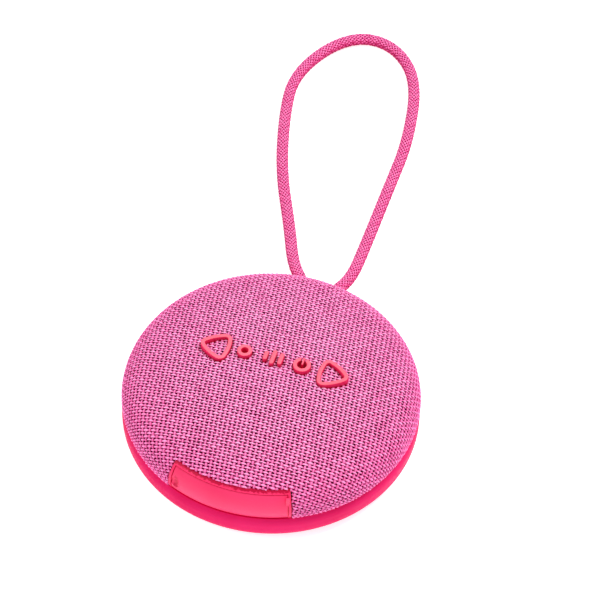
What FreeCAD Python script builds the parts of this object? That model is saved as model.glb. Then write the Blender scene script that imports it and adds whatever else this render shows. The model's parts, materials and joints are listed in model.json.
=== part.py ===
import FreeCAD, Part
import math
import os

# Shower speaker: a round puck with a woven, domed top, a rubber bumper and a hanging loop.
# Millimetres, +Z up. The origin is the centre of the base, on the surface the speaker stands on.
# The port cover faces -Y, the hanging loop leaves at +Y and the row of buttons lies along X.

V = FreeCAD.Vector
UP = V(0, 0, 1)

# Outer form of the body
BODY_RADIUS = 45.0
DOME_TOP = 26.45
DOME_RADIUS = 160.0
EDGE_RADIUS = 9.3
SEAM_HEIGHT = 9.6
SEAM_RADIUS = 44.0
GAP = 0.05
TINY = 1e-4

# Soft bumper and foot pad
BUMPER_BOTTOM = 0.3
BUMPER_EDGE = 5.2
BUMPER_WALL = 2.5
BUMPER_FLOOR = 1.7
BUMPER_WIDEST_TOP = 7.0
PAD_RADIUS = 36.2
PAD_OPENING = 36.3
PAD_HEIGHT = 2.0
PAD_GROOVE_RADII = (12.0, 20.0, 28.0)
PAD_GROOVE_WIDTH = 1.4
PAD_GROOVE_DEPTH = 0.5

# Rear housing
HOUSING_RADIUS = BODY_RADIUS - BUMPER_WALL - GAP
HOUSING_WALL = 2.05
HOUSING_UNDERSIDE = BUMPER_BOTTOM + BUMPER_FLOOR + GAP
HOUSING_FLOOR = 1.6
HOUSING_INSIDE = HOUSING_UNDERSIDE + HOUSING_FLOOR
SEAL_RADIUS = 41.5
SEAL_WIDTH = 0.9
SEAL_DEPTH = 0.7

# Fabric, grille frame and the window for the port
FABRIC = 0.75
FRAME_OUTSIDE = 0.8
FRAME_INSIDE = 2.0
FRAME_FOOT_RADIUS = 41.0
WINDOW_HALF_ANGLE = 25.9
WINDOW_TOP = 20.1
GRILLE_PITCH = 5.2
GRILLE_HOLE = 1.6
GRILLE_REACH = 31.0
BUTTON_STRIP = (25.5, 7.5)
SEAT_INNER = 24.0
SEAT_OUTER = 26.0
SEAT_BOTTOM = 17.6
SEAT_NOTCH = 8.0
POST_CIRCLE = 32.5
POST_ANGLES = (40, 140, 220, 320)
POST_RADIUS = 2.6
POST_BOTTOM = 6.0
POST_BORE_DEPTH = 8.0
SCREW_RADIUS = 1.0
SCREW_GRIP = 7.0
SCREW_CLEARANCE = 0.03
HEAD_RADIUS = 2.1
HEAD_HEIGHT = 1.4
HEAD_INSET = 0.2
DRIVE_REACH = 1.3
DRIVE_WIDTH = 0.5
DRIVE_DEPTH = 0.7

# Port: surround, cover on its living hinge, sockets
SURROUND_HALF_ANGLE = 24.95
SURROUND_INSET = 0.35
SURROUND_TOP = 19.8
CAVITY_HALF_ANGLE = 23.95
CAVITY_TOP = 19.0
BAY_FLOOR = 10.25
BAY_FLOOR_RADIUS = 42.5
PORT_PLATE = 35.0
PORT_PLATE_THICK = 1.0
COVER_HALF_ANGLE = 23.6
COVER_INSET = 0.5
COVER_THICK = 1.75
COVER_BOTTOM = 9.95
COVER_TOP = 18.75
COVER_LIP = 0.8
LIP_WIDTH = 1.2
LIP_ANGLES = (-21.5, 20.5)
LIP_HEIGHTS = (10.9, 17.75)
NOTCH_RADIUS = 2.6
NOTCH_ANGLE = -21.9
NOTCH_HEIGHT = 14.4
NOTCH_DEPTH = 0.9
USB_X = -6.5
AUX_X = 6.5
USB_HALF_WIDTH = 4.47
USB_HEIGHT = 3.2
USB_DEPTH = 7.3
USB_WALL = 0.3
USB_CORNER = 1.55
USB_TONGUE = (3.34, 0.35)
AUX_AXIS_HEIGHT = 13.1
AUX_BORE = 1.8
AUX_NOSE = 2.9
AUX_HALF_WIDTH = 3.2
AUX_DEPTH = 9.0

# Buttons
BUTTON_ROW_Y = 2.3
BUTTON_PROUD = 1.3
BUTTON_CLEAR = 0.15
BUTTON_ROUND = 0.3
FRAME_CLEAR = 0.25
ICON_STROKE = 1.25
RECESS_BELOW_FABRIC = 0.9
FLANGE_REACH = 0.6
FLANGE_THICK = 0.5
VOLUME_DOWN_X = -18.6
VOLUME_UP_X = 18.4
TRIANGLE_CORNER = 2.0
TRIANGLE_SIDE = 14.0
TRIANGLE_CENTRES = ((-2.4, 0.0), (2.4, 2.95), (2.4, -2.95))
SMALL_RING_X = -9.3
SMALL_RING_RADIUS = 2.25
SMALL_RING_HOLE = 1.1
POWER_X = 8.5
POWER_RADIUS = 2.7
POWER_HOLE = 1.45
POWER_GAP = 1.5
POWER_BAR = 0.62
MODE_X = -0.4
MODE_BARS = ((-2.35, 3.4), (0.0, 5.4), (2.35, 4.4))
MODE_BAR_WIDTH = 1.3
DOME_PAD_HEIGHT = 1.2
DOME_PAD_RADIUS = 1.9
DOME_PAD_SHELL = 0.35
DOME_PAD_SKIRT = 0.4

# Button board and the bridge that carries it
BOARD_TOP = 20.7
BOARD_THICK = 0.8
BOARD_HALF = (21.2, 3.8)
BOARD_SCREW_X = 13.6
BOARD_SCREW_SHANK = 0.6
BOARD_SCREW_HEAD = (1.2, 0.6)
BRIDGE_TOP = BOARD_TOP - BOARD_THICK - GAP
BRIDGE_BOTTOM = BRIDGE_TOP - 0.8
BRIDGE_END = 25.7
BRIDGE_HALF_WIDTH = 3.0
TRAY_HALF = (20.5, 4.6)
FLEX_HALF_WIDTH = 2.5
FLEX_THICK = 0.15
FLEX_FRONT = 27.6
FLEX_FOOT = 2.0
FLEX_LIFT = 0.02

# Driver
RIM_TOP = 17.0
RIM_THICK = 1.2
RIM_INNER = 23.5
GASKET_LOW = 17.3
BASKET_NECK = 9.0
BASKET_WINDOWS = 6
YOKE_RADIUS = 11.5
YOKE_BOTTOM = 4.2
YOKE_TOP = 10.6
YOKE_FLOOR = 1.8
YOKE_BORE = 9.5
MAGNET_RADIUS = 7.6
MAGNET_TOP = 8.8
POLE_RADIUS = 8.0
COIL_LOW = 8.2
COIL_INNER = 8.45
COIL_OUTER = 8.6
WINDING_OUTER = 9.0
WINDING_HEIGHTS = (8.4, 10.9)
FORMER_TOP = 13.6
CONE_EDGE = 20.5
CONE_EDGE_HEIGHT = 16.7
CONE_NECK_HEIGHT = 12.7
PAPER = 0.4
BASKET_WINDOW_ANGLE = -73.0
SURROUND_ROLL = 1.1
ROLL_HEM = 0.2
DUST_CAP_BALL = 14.0
SPIDER_LOW = 11.3
SPIDER_OUTER = 14.2
SPIDER_WAVES = 4

# Electronics
MAIN_BOARD_TOP = 10.6
MAIN_BOARD_HALF = 19.0
MAIN_BOARD_FRONT = -(PORT_PLATE - PORT_PLATE_THICK) + 0.1
MAIN_BOARD_BACK = -21.5
STANDOFF = (15.0, -30.5)
STANDOFF_RADIUS = 2.2
STANDOFF_PILOT = 0.93
MAIN_SCREW = (0.9, 5.0)
MAIN_SCREW_HEAD = (1.8, 1.2)
CHIPS = (
    (-15.0, -26.0, 5.0, 5.0, 0.9), (-9.0, -24.5, 4.0, 3.0, 1.0), (14.0, -25.5, 3.2, 2.4, 1.2),
    (0.0, -24.6, 5.0, 3.6, 1.1), (0.0, -31.5, 1.6, 3.4, 1.4),
)
BATTERY_SIZE = (34.0, 11.4, 7.6)
BATTERY_FRONT = 18.8
PAD_UNDER_BATTERY = 0.5
BATTERY_CORNER = 1.5
SPEAKER_WIRE = 0.55
BATTERY_WIRE = 0.6
BATTERY_WIRE_PITCH = 1.8
SPEAKER_WIRE_ROUTE = ((18.0, -22.6, 11.25), (21.5, -20.0, 11.55), (24.5, -14.0, 12.15), (24.0, -8.5, 13.45))
BATTERY_WIRE_ROUTE = (
    (13.0, 18.55, 7.0), (13.2, 15.5, 5.9), (14.4, 9.0, 5.2), (14.9, -3.0, 5.0),
    (14.2, -14.5, 5.9), (13.0, -21.0, 8.2), (12.6, -24.5, 8.9),
)

# Hanging loop. The route of its centre line: straight out of the grommet, down to the
# surface the speaker stands on, round its far end and back into the grommet.
CORD_RADIUS = 2.0
CORD_HOLE = 2.05
CORD_EXIT_Y = 44.3
CORD_EXIT_HEIGHT = 5.9
CORD_SPACING = 4.6
ANCHOR_Y = 37.2
ANCHOR_SOCKET = 0.9
GROMMET_SIZE = (16.4, 5.2)
GROMMET_INNER_Y = 39.9
GROMMET_SUNK = 0.3
GROMMET_RIM = 0.9
GROMMET_RIM_Y = 43.3
CORD_ROUTE = (
    (-4.6, 44.3, 5.9), (-4.6, 49.8, 5.9), (-11.2, 58.8, 4.0), (-17.3, 75.1, 2.2), (-27.4, 98.1, 2.05),
    (-34.3, 124.2, 2.02), (-36.4, 141.8, 2.05), (-29.4, 159.0, 2.02), (-19.0, 167.8, 2.05),
    (-6.3, 165.3, 2.02), (4.1, 151.8, 2.05), (8.6, 124.1, 2.02), (8.3, 102.9, 2.05), (8.1, 75.1, 2.2),
    (8.1, 58.9, 4.0), (4.6, 49.8, 5.9), (4.6, 44.3, 5.9),
)

SPHERE_CENTRE_Z = DOME_TOP - DOME_RADIUS
EDGE_CENTRE_R = BODY_RADIUS - EDGE_RADIUS
EDGE_CENTRE_Z = SPHERE_CENTRE_Z + math.sqrt((DOME_RADIUS - EDGE_RADIUS) ** 2 - EDGE_CENTRE_R ** 2)
EDGE_ANGLE = math.atan2(EDGE_CENTRE_R, EDGE_CENTRE_Z - SPHERE_CENTRE_Z)
ROLL_DROP = EDGE_CENTRE_Z - SEAM_HEIGHT
ROLL_IN = BODY_RADIUS - SEAM_RADIUS
ROLL_RADIUS = (ROLL_DROP ** 2 + ROLL_IN ** 2) / (2 * ROLL_IN)
ANCHOR_RADIUS = CORD_SPACING - CORD_RADIUS - GAP

NODES = {}


# ---- drawing helpers ----

def line(a, b):
    return Part.LineSegment(a, b).toShape()


def arc(a, middle, b):
    return Part.Arc(a, middle, b).toShape()


def polar(centre, radius, angle, height=0.0):
    return V(centre[0] + radius * math.cos(angle), centre[1] + radius * math.sin(angle), height)


def in_section(radius, height):
    return V(radius, 0, height)


def section_arc(centre_r, centre_z, radius, start, end):
    """Arc in the section plane; angles are measured from straight up towards the outside."""
    def at(angle):
        return in_section(centre_r + radius * math.sin(angle), centre_z + radius * math.cos(angle))
    return arc(at(start), at((start + end) / 2), at(end))


def revolved(edges):
    return Part.Face(Part.Wire(edges)).revolve(V(0, 0, 0), UP, 360)


def turned_polygon(points):
    """Solid of revolution of a closed outline given as (radius, height) corners."""
    corners = [in_section(r, z) for r, z in points]
    return revolved([line(a, b) for a, b in zip(corners, corners[1:] + corners[:1])])


def tube(inner, outer, low, high, x=0.0, y=0.0):
    ring = Part.makeCylinder(outer, high - low, V(x, y, low))
    if inner > 0:
        ring = ring.cut(Part.makeCylinder(inner, high - low, V(x, y, low)))
    return ring


def rod(radius, low, high, x=0.0, y=0.0):
    return tube(0.0, radius, low, high, x, y)


def box(x0, x1, y0, y1, z0, z1):
    return Part.makeBox(x1 - x0, y1 - y0, z1 - z0, V(x0, y0, z0))


def rounded_box(x0, x1, y0, y1, z0, z1, radius, direction):
    """Box whose edges along one direction (a unit vector) are rounded."""
    block = box(x0, x1, y0, y1, z0, z1)
    along = []
    for edge in block.Edges:
        tangent = edge.tangentAt(edge.FirstParameter)
        if abs(tangent.dot(direction)) > 0.99:
            along.append(edge)
    return block.makeFillet(radius, along)


def wedge(first_angle, last_angle, low, high, radius=60.0):
    """Sector about the body's axis; angles in degrees from -Y, growing towards +X."""
    start = V(0, 0, low)
    angles = [math.radians(a - 90) for a in (first_angle, (first_angle + last_angle) / 2, last_angle)]
    ends = [polar((0, 0), radius, a, low) for a in angles]
    outline = Part.Wire([line(start, ends[0]), arc(*ends), line(ends[2], start)])
    return Part.Face(outline).extrude(V(0, 0, high - low))


def fused(shapes):
    whole = shapes[0]
    if len(shapes) > 1:
        whole = whole.fuse(shapes[1:])
    return whole.removeSplitter()


def add(name, shape):
    NODES[name] = shape


# ---- the body's skin ----

def skin_path(inset, low, rolled):
    """Edges of the skin in section, from the axis down to a height, and its last point."""
    dome = section_arc(0, SPHERE_CENTRE_Z, DOME_RADIUS - inset, 0, EDGE_ANGLE)
    edge = section_arc(EDGE_CENTRE_R, EDGE_CENTRE_Z, EDGE_RADIUS - inset, EDGE_ANGLE, math.pi / 2)
    if rolled:
        radius = ROLL_RADIUS - inset
        turn = math.asin((EDGE_CENTRE_Z - low) / radius)
        centre_r = BODY_RADIUS - ROLL_RADIUS
        foot = section_arc(centre_r, EDGE_CENTRE_Z, radius, math.pi / 2, math.pi / 2 + turn)
        end = in_section(centre_r + radius * math.cos(turn), low)
    else:
        end = in_section(BODY_RADIUS - inset, low)
        foot = line(in_section(BODY_RADIUS - inset, EDGE_CENTRE_Z), end)
    return [dome, edge, foot], end


def skin_solid(inset, low, rolled=True):
    """Everything inside the skin, offset inwards, above a height."""
    path, end = skin_path(inset, low, rolled)
    top = in_section(0, DOME_TOP - inset)
    bottom = in_section(0, low)
    return revolved([*path, line(end, bottom), line(bottom, top)])


def skin_shell(outside, inside, low, rolled_inside=True):
    return skin_solid(outside, low).cut(skin_solid(inside, low, rolled_inside))


def dome_height(x, y, inset=0.0):
    return SPHERE_CENTRE_Z + math.sqrt((DOME_RADIUS - inset) ** 2 - x ** 2 - y ** 2)


# ---- button outlines ----

def pick_outline(centres, corner, side, height):
    """Closed outline of round corners joined by gently bowed sides, tangent all round."""
    count = len(centres)
    middle = V(sum(c[0] for c in centres) / count, sum(c[1] for c in centres) / count, 0)
    points = [V(c[0], c[1], 0) for c in centres]
    sides = []
    for i, a in enumerate(points):
        b = points[(i + 1) % count]
        half = (a + b) * 0.5
        outward = half - middle
        along = (b - a).normalize()
        outward = (outward - along * outward.dot(along)).normalize()
        depth = math.sqrt((side - corner) ** 2 - (a.distanceToPoint(b) / 2) ** 2)
        hub = half - outward * depth
        start = a + (a - hub).normalize() * corner
        end = b + (b - hub).normalize() * corner
        sides.append((start, hub + outward * side, end))
    edges = []
    lift = V(0, 0, height)
    for i, (start, bow, end) in enumerate(sides):
        after = sides[(i + 1) % count][0]
        pivot = points[(i + 1) % count]
        tip = pivot + ((end - pivot) + (after - pivot)).normalize() * corner
        edges.append(arc(start + lift, bow + lift, end + lift))
        edges.append(arc(end + lift, tip + lift, after + lift))
    return Part.Face(Part.Wire(edges))


def triangle_prism(pointing, grow, low, high):
    """Bowed triangle about its own centre; pointing is -1 for left, 1 for right."""
    centres = [(-pointing * x, y) for x, y in TRIANGLE_CENTRES]
    face = pick_outline(centres, TRIANGLE_CORNER + grow, TRIANGLE_SIDE + grow, low)
    return face.extrude(V(0, 0, high - low))


def triangle_icon(pointing):
    def outer(grow, low, high):
        return triangle_prism(pointing, grow, low, high)

    def hollow(low, high):
        return triangle_prism(pointing, -ICON_STROKE, low, high)
    return outer, hollow


def ring_icon(radius, hole):
    def outer(grow, low, high):
        return rod(radius + grow, low, high)

    def hollow(low, high):
        return rod(hole, low, high)
    return outer, hollow


def power_icon():
    def outer(grow, low, high):
        return rod(POWER_RADIUS + grow, low, high)

    def hollow(low, high):
        opening = rod(POWER_HOLE, low, high)
        slot = box(-POWER_GAP / 2, POWER_GAP / 2, 0, POWER_RADIUS + 1, low, high)
        bar = box(-POWER_BAR / 2, POWER_BAR / 2, 0, POWER_RADIUS + 1, low, high)
        return opening.fuse(slot).cut(bar)
    return outer, hollow


def bars_icon():
    """Three upright level bars, a plain sign for the sound mode."""
    def bar(x, tall, grow, low, high):
        half = MODE_BAR_WIDTH / 2 + grow
        reach = tall / 2 + grow
        return rounded_box(x - half, x + half, -reach, reach, low, high, half * 0.95, UP)

    def outer(grow, low, high):
        return fused([bar(x, tall, grow, low, high) for x, tall in MODE_BARS])

    def hollow(low, high):
        return None
    return outer, hollow


BUTTONS = {
    "volume_down": (VOLUME_DOWN_X, triangle_icon(-1)),
    "pairing": (SMALL_RING_X, ring_icon(SMALL_RING_RADIUS, SMALL_RING_HOLE)),
    "mode": (MODE_X, bars_icon()),
    "power": (POWER_X, power_icon()),
    "volume_up": (VOLUME_UP_X, triangle_icon(1)),
}


def button_reach(outer):
    """Farthest point of an icon from its centre along X."""
    bounds = outer(0, 0, 1).BoundBox
    return max(abs(bounds.XMin), abs(bounds.XMax))


def button_passages(grow, low, high):
    """Holes in a sheet for all five buttons."""
    holes = []
    for x, icon in BUTTONS.values():
        outer = icon[0]
        hole = outer(grow, low, high)
        hole.translate(V(x, BUTTON_ROW_Y, 0))
        holes.append(hole)
    return holes


def edges_at_height(form, height):
    """Level edges of a form that lie at a given height."""
    return [edge for edge in form.Edges
            if abs(edge.BoundBox.ZMin - height) < TINY and abs(edge.BoundBox.ZMax - height) < TINY]


def make_button(name):
    x, (outer, hollow) = BUTTONS[name]
    fabric_top = dome_height(x, BUTTON_ROW_Y)
    top = fabric_top + BUTTON_PROUD
    farthest = abs(x) + button_reach(outer) + FLANGE_REACH
    lowest_sheet = dome_height(farthest, BUTTON_ROW_Y, FRAME_INSIDE)
    flange_top = lowest_sheet - 2 * GAP
    flange_bottom = flange_top - FLANGE_THICK
    rest = BOARD_TOP + DOME_PAD_HEIGHT + GAP
    parts = [outer(0, flange_bottom, top), outer(FLANGE_REACH, flange_bottom, flange_top)]
    if rest < flange_bottom:
        parts.append(rod(DOME_PAD_RADIUS, rest, flange_bottom))
    cap = fused(parts)
    opening = hollow(fabric_top - RECESS_BELOW_FABRIC, top + 1)
    if opening is not None:
        cap = cap.cut(opening)
    cap = cap.removeSplitter()
    cap = cap.makeFillet(BUTTON_ROUND, edges_at_height(cap, top))
    cap.translate(V(x, BUTTON_ROW_Y, 0))
    return cap


def make_dome_pad(x):
    """Collapsing rubber dome under one button."""
    low = BOARD_TOP + GAP
    high = low + DOME_PAD_HEIGHT - GAP
    step = low + DOME_PAD_SKIRT
    crown = DOME_PAD_RADIUS * 0.55
    brim = DOME_PAD_RADIUS + 0.5
    ceiling = high - DOME_PAD_SHELL * 1.6
    pad = turned_polygon([(0, high), (crown, high), (DOME_PAD_RADIUS, step), (brim, step), (brim, low),
                          (DOME_PAD_RADIUS - DOME_PAD_SHELL, low), (crown - DOME_PAD_SHELL, ceiling),
                          (0, ceiling)])
    pad.translate(V(x, BUTTON_ROW_Y, 0))
    return pad


def make_buttons():
    for name, (x, _) in BUTTONS.items():
        add(name + "_button", make_button(name))
        add(name + "_dome", make_dome_pad(x))


# ---- casing ----

def post_places():
    return [polar((0, 0), POST_CIRCLE, math.radians(a)) for a in POST_ANGLES]


def grommet_openings():
    """The window for the grommet's body, and the wider seat for its outer rim."""
    return [grommet_block(GAP, GROMMET_INNER_Y - 0.9), grommet_block(GROMMET_RIM + GAP, GROMMET_RIM_Y - GAP)]


def grommet_block(grow, inner_y):
    width, tall = GROMMET_SIZE
    half = width / 2 + grow
    reach = tall / 2 + grow
    return rounded_box(-half, half, inner_y, BODY_RADIUS + 2, CORD_EXIT_HEIGHT - reach,
                       CORD_EXIT_HEIGHT + reach, reach * 0.9, V(0, 1, 0))


def bumper_outline(inset):
    """Solid of the bumper's outer form, offset inwards."""
    widest = BODY_RADIUS - inset
    rise = SEAM_HEIGHT - BUMPER_WIDEST_TOP
    step = ROLL_IN + GAP
    shoulder = (rise ** 2 + step ** 2) / (2 * step)
    turn = math.asin(rise / shoulder)
    centre = BUMPER_BOTTOM + BUMPER_EDGE
    rim = section_arc(BODY_RADIUS - shoulder, BUMPER_WIDEST_TOP, shoulder - inset,
                      math.pi / 2 - turn, math.pi / 2)
    edge = section_arc(BODY_RADIUS - BUMPER_EDGE, centre, BUMPER_EDGE - inset, math.pi / 2, math.pi)
    top = rim.Vertexes[0].Point
    bottom = in_section(BODY_RADIUS - BUMPER_EDGE, BUMPER_BOTTOM + inset)
    wall = line(in_section(widest, BUMPER_WIDEST_TOP), in_section(widest, centre))
    floor = line(bottom, in_section(0, BUMPER_BOTTOM + inset))
    axis = line(in_section(0, BUMPER_BOTTOM + inset), in_section(0, top.z))
    return revolved([rim, wall, edge, floor, axis, line(in_section(0, top.z), top)])


def bowl(radius, corner, low, high):
    """Solid bowl form: flat bottom, rounded corner, upright side."""
    centre = low + corner
    side = line(in_section(radius, high), in_section(radius, centre))
    edge = section_arc(radius - corner, centre, corner, math.pi / 2, math.pi)
    bottom = line(in_section(radius - corner, low), in_section(0, low))
    axis = line(in_section(0, low), in_section(0, high))
    return revolved([side, edge, bottom, axis, line(in_section(0, high), in_section(radius, high))])


def make_bumper():
    inner_corner = BUMPER_EDGE - BUMPER_WALL
    hollow = bowl(BODY_RADIUS - BUMPER_WALL, inner_corner, BUMPER_BOTTOM + BUMPER_FLOOR, SEAM_HEIGHT + 1)
    opening = rod(PAD_OPENING, 0, BUMPER_BOTTOM + BUMPER_FLOOR + 1)
    bumper = bumper_outline(0).cut(hollow).cut(opening)
    add("bumper", bumper.cut(grommet_openings()))


def make_base_pad():
    pad = rod(PAD_RADIUS, 0, PAD_HEIGHT)
    rims = [e for e in pad.Edges if abs(e.BoundBox.ZMax) < 0.01 and e.BoundBox.XLength > 1]
    pad = pad.makeFillet(0.25, rims)
    for radius in PAD_GROOVE_RADII:
        half = PAD_GROOVE_WIDTH / 2
        pad = pad.cut(tube(radius - half, radius + half, 0, PAD_GROOVE_DEPTH))
    add("base_pad", pad)


def make_rear_housing():
    inside = HOUSING_RADIUS - HOUSING_WALL
    outer = bowl(HOUSING_RADIUS, BUMPER_EDGE - BUMPER_WALL - GAP, HOUSING_UNDERSIDE, SEAM_HEIGHT)
    shell = outer.cut(bowl(inside, 1.0, HOUSING_INSIDE, SEAM_HEIGHT + 1))
    solid_parts = [shell]
    tools = [tube(SEAL_RADIUS - SEAL_WIDTH / 2, SEAL_RADIUS + SEAL_WIDTH / 2,
                  SEAM_HEIGHT - SEAL_DEPTH, SEAM_HEIGHT + 1)]
    for place in post_places():
        solid_parts.append(rod(POST_RADIUS + 0.6, HOUSING_UNDERSIDE, POST_BOTTOM - GAP, place.x, place.y))
        tools.append(rod(HEAD_RADIUS + 0.2, 0, HOUSING_UNDERSIDE + HEAD_HEIGHT + 0.25, place.x, place.y))
        tools.append(rod(SCREW_RADIUS + 0.15, 0, POST_BOTTOM + 1, place.x, place.y))
    for side in (-1, 1):
        x = side * STANDOFF[0]
        top = MAIN_BOARD_TOP - BOARD_THICK - GAP
        solid_parts.append(rod(STANDOFF_RADIUS, HOUSING_INSIDE - 0.5, top, x, STANDOFF[1]))
        tools.append(rod(STANDOFF_PILOT, HOUSING_INSIDE + 1, top + 1, x, STANDOFF[1]))
    tools.append(rod(ANCHOR_RADIUS + GAP / 2, HOUSING_INSIDE - ANCHOR_SOCKET, HOUSING_INSIDE + 1,
                     0, ANCHOR_Y))
    housing = fused(solid_parts).cut(tools)
    add("rear_housing", housing.cut(grommet_openings()))


def make_seal_ring():
    half = SEAL_WIDTH / 2 - GAP
    add("seal_ring", tube(SEAL_RADIUS - half, SEAL_RADIUS + half,
                          SEAM_HEIGHT - SEAL_DEPTH + GAP, SEAM_HEIGHT - GAP / 2))


def make_housing_screws():
    head_low = HOUSING_UNDERSIDE + HEAD_INSET
    head_high = head_low + HEAD_HEIGHT
    slot_top = head_low + DRIVE_DEPTH
    half = DRIVE_WIDTH / 2
    head = rod(HEAD_RADIUS, head_low, head_high)
    shank = rod(SCREW_RADIUS, head_high, POST_BOTTOM + SCREW_GRIP)
    slot = box(-DRIVE_REACH, DRIVE_REACH, -half, half, head_low - 1, slot_top)
    cross_slot = box(-half, half, -DRIVE_REACH, DRIVE_REACH, head_low - 1, slot_top)
    screw = fused([head, shank]).cut([slot, cross_slot])
    add("housing_screws", Part.makeCompound([screw.translated(place) for place in post_places()]))


def window(grow_angle, low, high):
    half = WINDOW_HALF_ANGLE + grow_angle
    return wedge(-half, half, low, high).cut(rod(PORT_PLATE - 3, low - 1, high + 1))


def make_fabric_cover():
    low = SEAM_HEIGHT + GAP
    fabric = skin_shell(0, FABRIC, low)
    tools = button_passages(BUTTON_CLEAR, DOME_TOP - 12, DOME_TOP + 5)
    tools.append(window(0, low - 1, WINDOW_TOP))
    add("fabric_cover", fabric.cut(tools))


def grille_holes():
    holes = []
    rows = int(GRILLE_REACH / GRILLE_PITCH) + 2
    row_step = GRILLE_PITCH * math.sqrt(3) / 2
    for row in range(-rows, rows + 1):
        y = row * row_step
        for column in range(-rows, rows + 1):
            x = (column + 0.5 * (row % 2)) * GRILLE_PITCH
            in_strip = abs(x) < BUTTON_STRIP[0] and abs(y - BUTTON_ROW_Y) < BUTTON_STRIP[1]
            near_post = any(math.hypot(x - p.x, y - p.y) < POST_RADIUS + GRILLE_HOLE for p in post_places())
            if math.hypot(x, y) < GRILLE_REACH and not in_strip and not near_post:
                holes.append(rod(GRILLE_HOLE, DOME_TOP - 12, DOME_TOP + 2, x, y))
    return holes


def under_dome(shape):
    """Trim something so that it ends halfway into the grille frame's sheet."""
    return shape.common(skin_solid((FRAME_OUTSIDE + FRAME_INSIDE) / 2, POST_BOTTOM - 1, False))


def make_grille_frame():
    low = SEAM_HEIGHT + GAP
    sheet = skin_shell(FRAME_OUTSIDE, FRAME_INSIDE, low, False)
    foot = tube(FRAME_FOOT_RADIUS, BODY_RADIUS - FRAME_INSIDE + 0.2, low, EDGE_CENTRE_Z)
    foot = foot.common(skin_solid(FRAME_OUTSIDE, low))
    sheet = sheet.cut(grille_holes())
    seat = under_dome(tube(SEAT_INNER, SEAT_OUTER, SEAT_BOTTOM, DOME_TOP))
    posts = [under_dome(rod(POST_RADIUS, POST_BOTTOM, DOME_TOP, p.x, p.y)) for p in post_places()]
    frame = fused([sheet, foot, seat, *posts])
    tools = button_passages(FRAME_CLEAR, DOME_TOP - 6, DOME_TOP + 5)
    tools.append(window(-0.1, low - 1, WINDOW_TOP - 0.1))
    for place in post_places():
        tools.append(rod(SCREW_RADIUS + SCREW_CLEARANCE, 0, POST_BOTTOM + POST_BORE_DEPTH, place.x, place.y))
    half = SEAT_NOTCH / 2
    tools.append(box(-half, half, -SEAT_OUTER - 1, -SEAT_INNER + 1, SEAT_BOTTOM - 1, BOARD_TOP + 0.6))
    reach = SEAT_OUTER + 1
    side = BRIDGE_HALF_WIDTH + 0.1
    tools.append(box(-reach, reach, BUTTON_ROW_Y - side, BUTTON_ROW_Y + side,
                     BRIDGE_BOTTOM - 0.1, BRIDGE_TOP + 0.1))
    add("grille_frame", frame.cut(tools))


# ---- port ----

def make_port_surround():
    low = SEAM_HEIGHT + GAP
    form = skin_solid(SURROUND_INSET, low).common(wedge(-SURROUND_HALF_ANGLE, SURROUND_HALF_ANGLE,
                                                        low, SURROUND_TOP))
    back = -(PORT_PLATE - PORT_PLATE_THICK)
    form = form.common(box(-60, 60, -60, back, low, SURROUND_TOP))
    cavity = wedge(-CAVITY_HALF_ANGLE, CAVITY_HALF_ANGLE, low - 1, CAVITY_TOP)
    cavity = cavity.common(box(-60, 60, -60, -PORT_PLATE, low - 1, CAVITY_TOP))
    floor = rod(BAY_FLOOR_RADIUS, low - 2, BAY_FLOOR)
    usb_half = USB_HALF_WIDTH + 0.18
    usb = rounded_box(USB_X - usb_half, USB_X + usb_half, -40, back + 1, MAIN_BOARD_TOP - 0.1,
                      MAIN_BOARD_TOP + USB_HEIGHT + 0.1, USB_CORNER + 0.05, V(0, 1, 0))
    aux = Part.makeCylinder(AUX_NOSE + 0.1, 8, V(AUX_X, -40, AUX_AXIS_HEIGHT), V(0, 1, 0))
    add("port_surround", form.cut(cavity.cut(floor)).cut([usb, aux]))


def make_port_cover():
    shell = skin_shell(COVER_INSET, COVER_INSET + COVER_THICK, COVER_BOTTOM, False)
    flap = shell.common(wedge(-COVER_HALF_ANGLE, COVER_HALF_ANGLE, COVER_BOTTOM, COVER_TOP))
    inner = COVER_INSET + COVER_THICK
    lip_shell = skin_solid(inner - 0.1, COVER_BOTTOM, False).cut(
        skin_solid(inner + COVER_LIP, COVER_BOTTOM, False))
    lip = lip_shell.common(wedge(*LIP_ANGLES, *LIP_HEIGHTS))
    turn = math.degrees(LIP_WIDTH / BODY_RADIUS)
    lip = lip.cut(wedge(LIP_ANGLES[0] + turn, LIP_ANGLES[1] - turn,
                        LIP_HEIGHTS[0] + LIP_WIDTH, LIP_HEIGHTS[1] - LIP_WIDTH))
    angle = math.radians(NOTCH_ANGLE - 90)
    depth = BODY_RADIUS - COVER_INSET + NOTCH_RADIUS - NOTCH_DEPTH
    scoop = Part.makeSphere(NOTCH_RADIUS, polar((0, 0), depth, angle, NOTCH_HEIGHT))
    add("port_cover", fused([flap, lip]).cut(scoop))


# ---- loop and its anchorage ----

def make_grommet():
    body = grommet_block(0, GROMMET_INNER_Y)
    rim = grommet_block(GROMMET_RIM, GROMMET_RIM_Y)
    grommet = fused([body, rim]).common(bumper_outline(GROMMET_SUNK))
    holes = []
    for side in (-1, 1):
        start = V(side * CORD_SPACING, GROMMET_INNER_Y - 5, CORD_EXIT_HEIGHT)
        holes.append(Part.makeCylinder(CORD_HOLE, 15, start, V(0, 1, 0)))
    add("lanyard_grommet", grommet.cut(holes))


def make_anchor():
    low = HOUSING_INSIDE - ANCHOR_SOCKET + GAP
    add("lanyard_anchor_pin", rod(ANCHOR_RADIUS, low, SEAM_HEIGHT - GAP, 0, ANCHOR_Y))


def swept_tube(path, radius, start, direction):
    circle = Part.Wire([Part.makeCircle(radius, start, direction)])
    return path.makePipeShell([circle], True, False)


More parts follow.
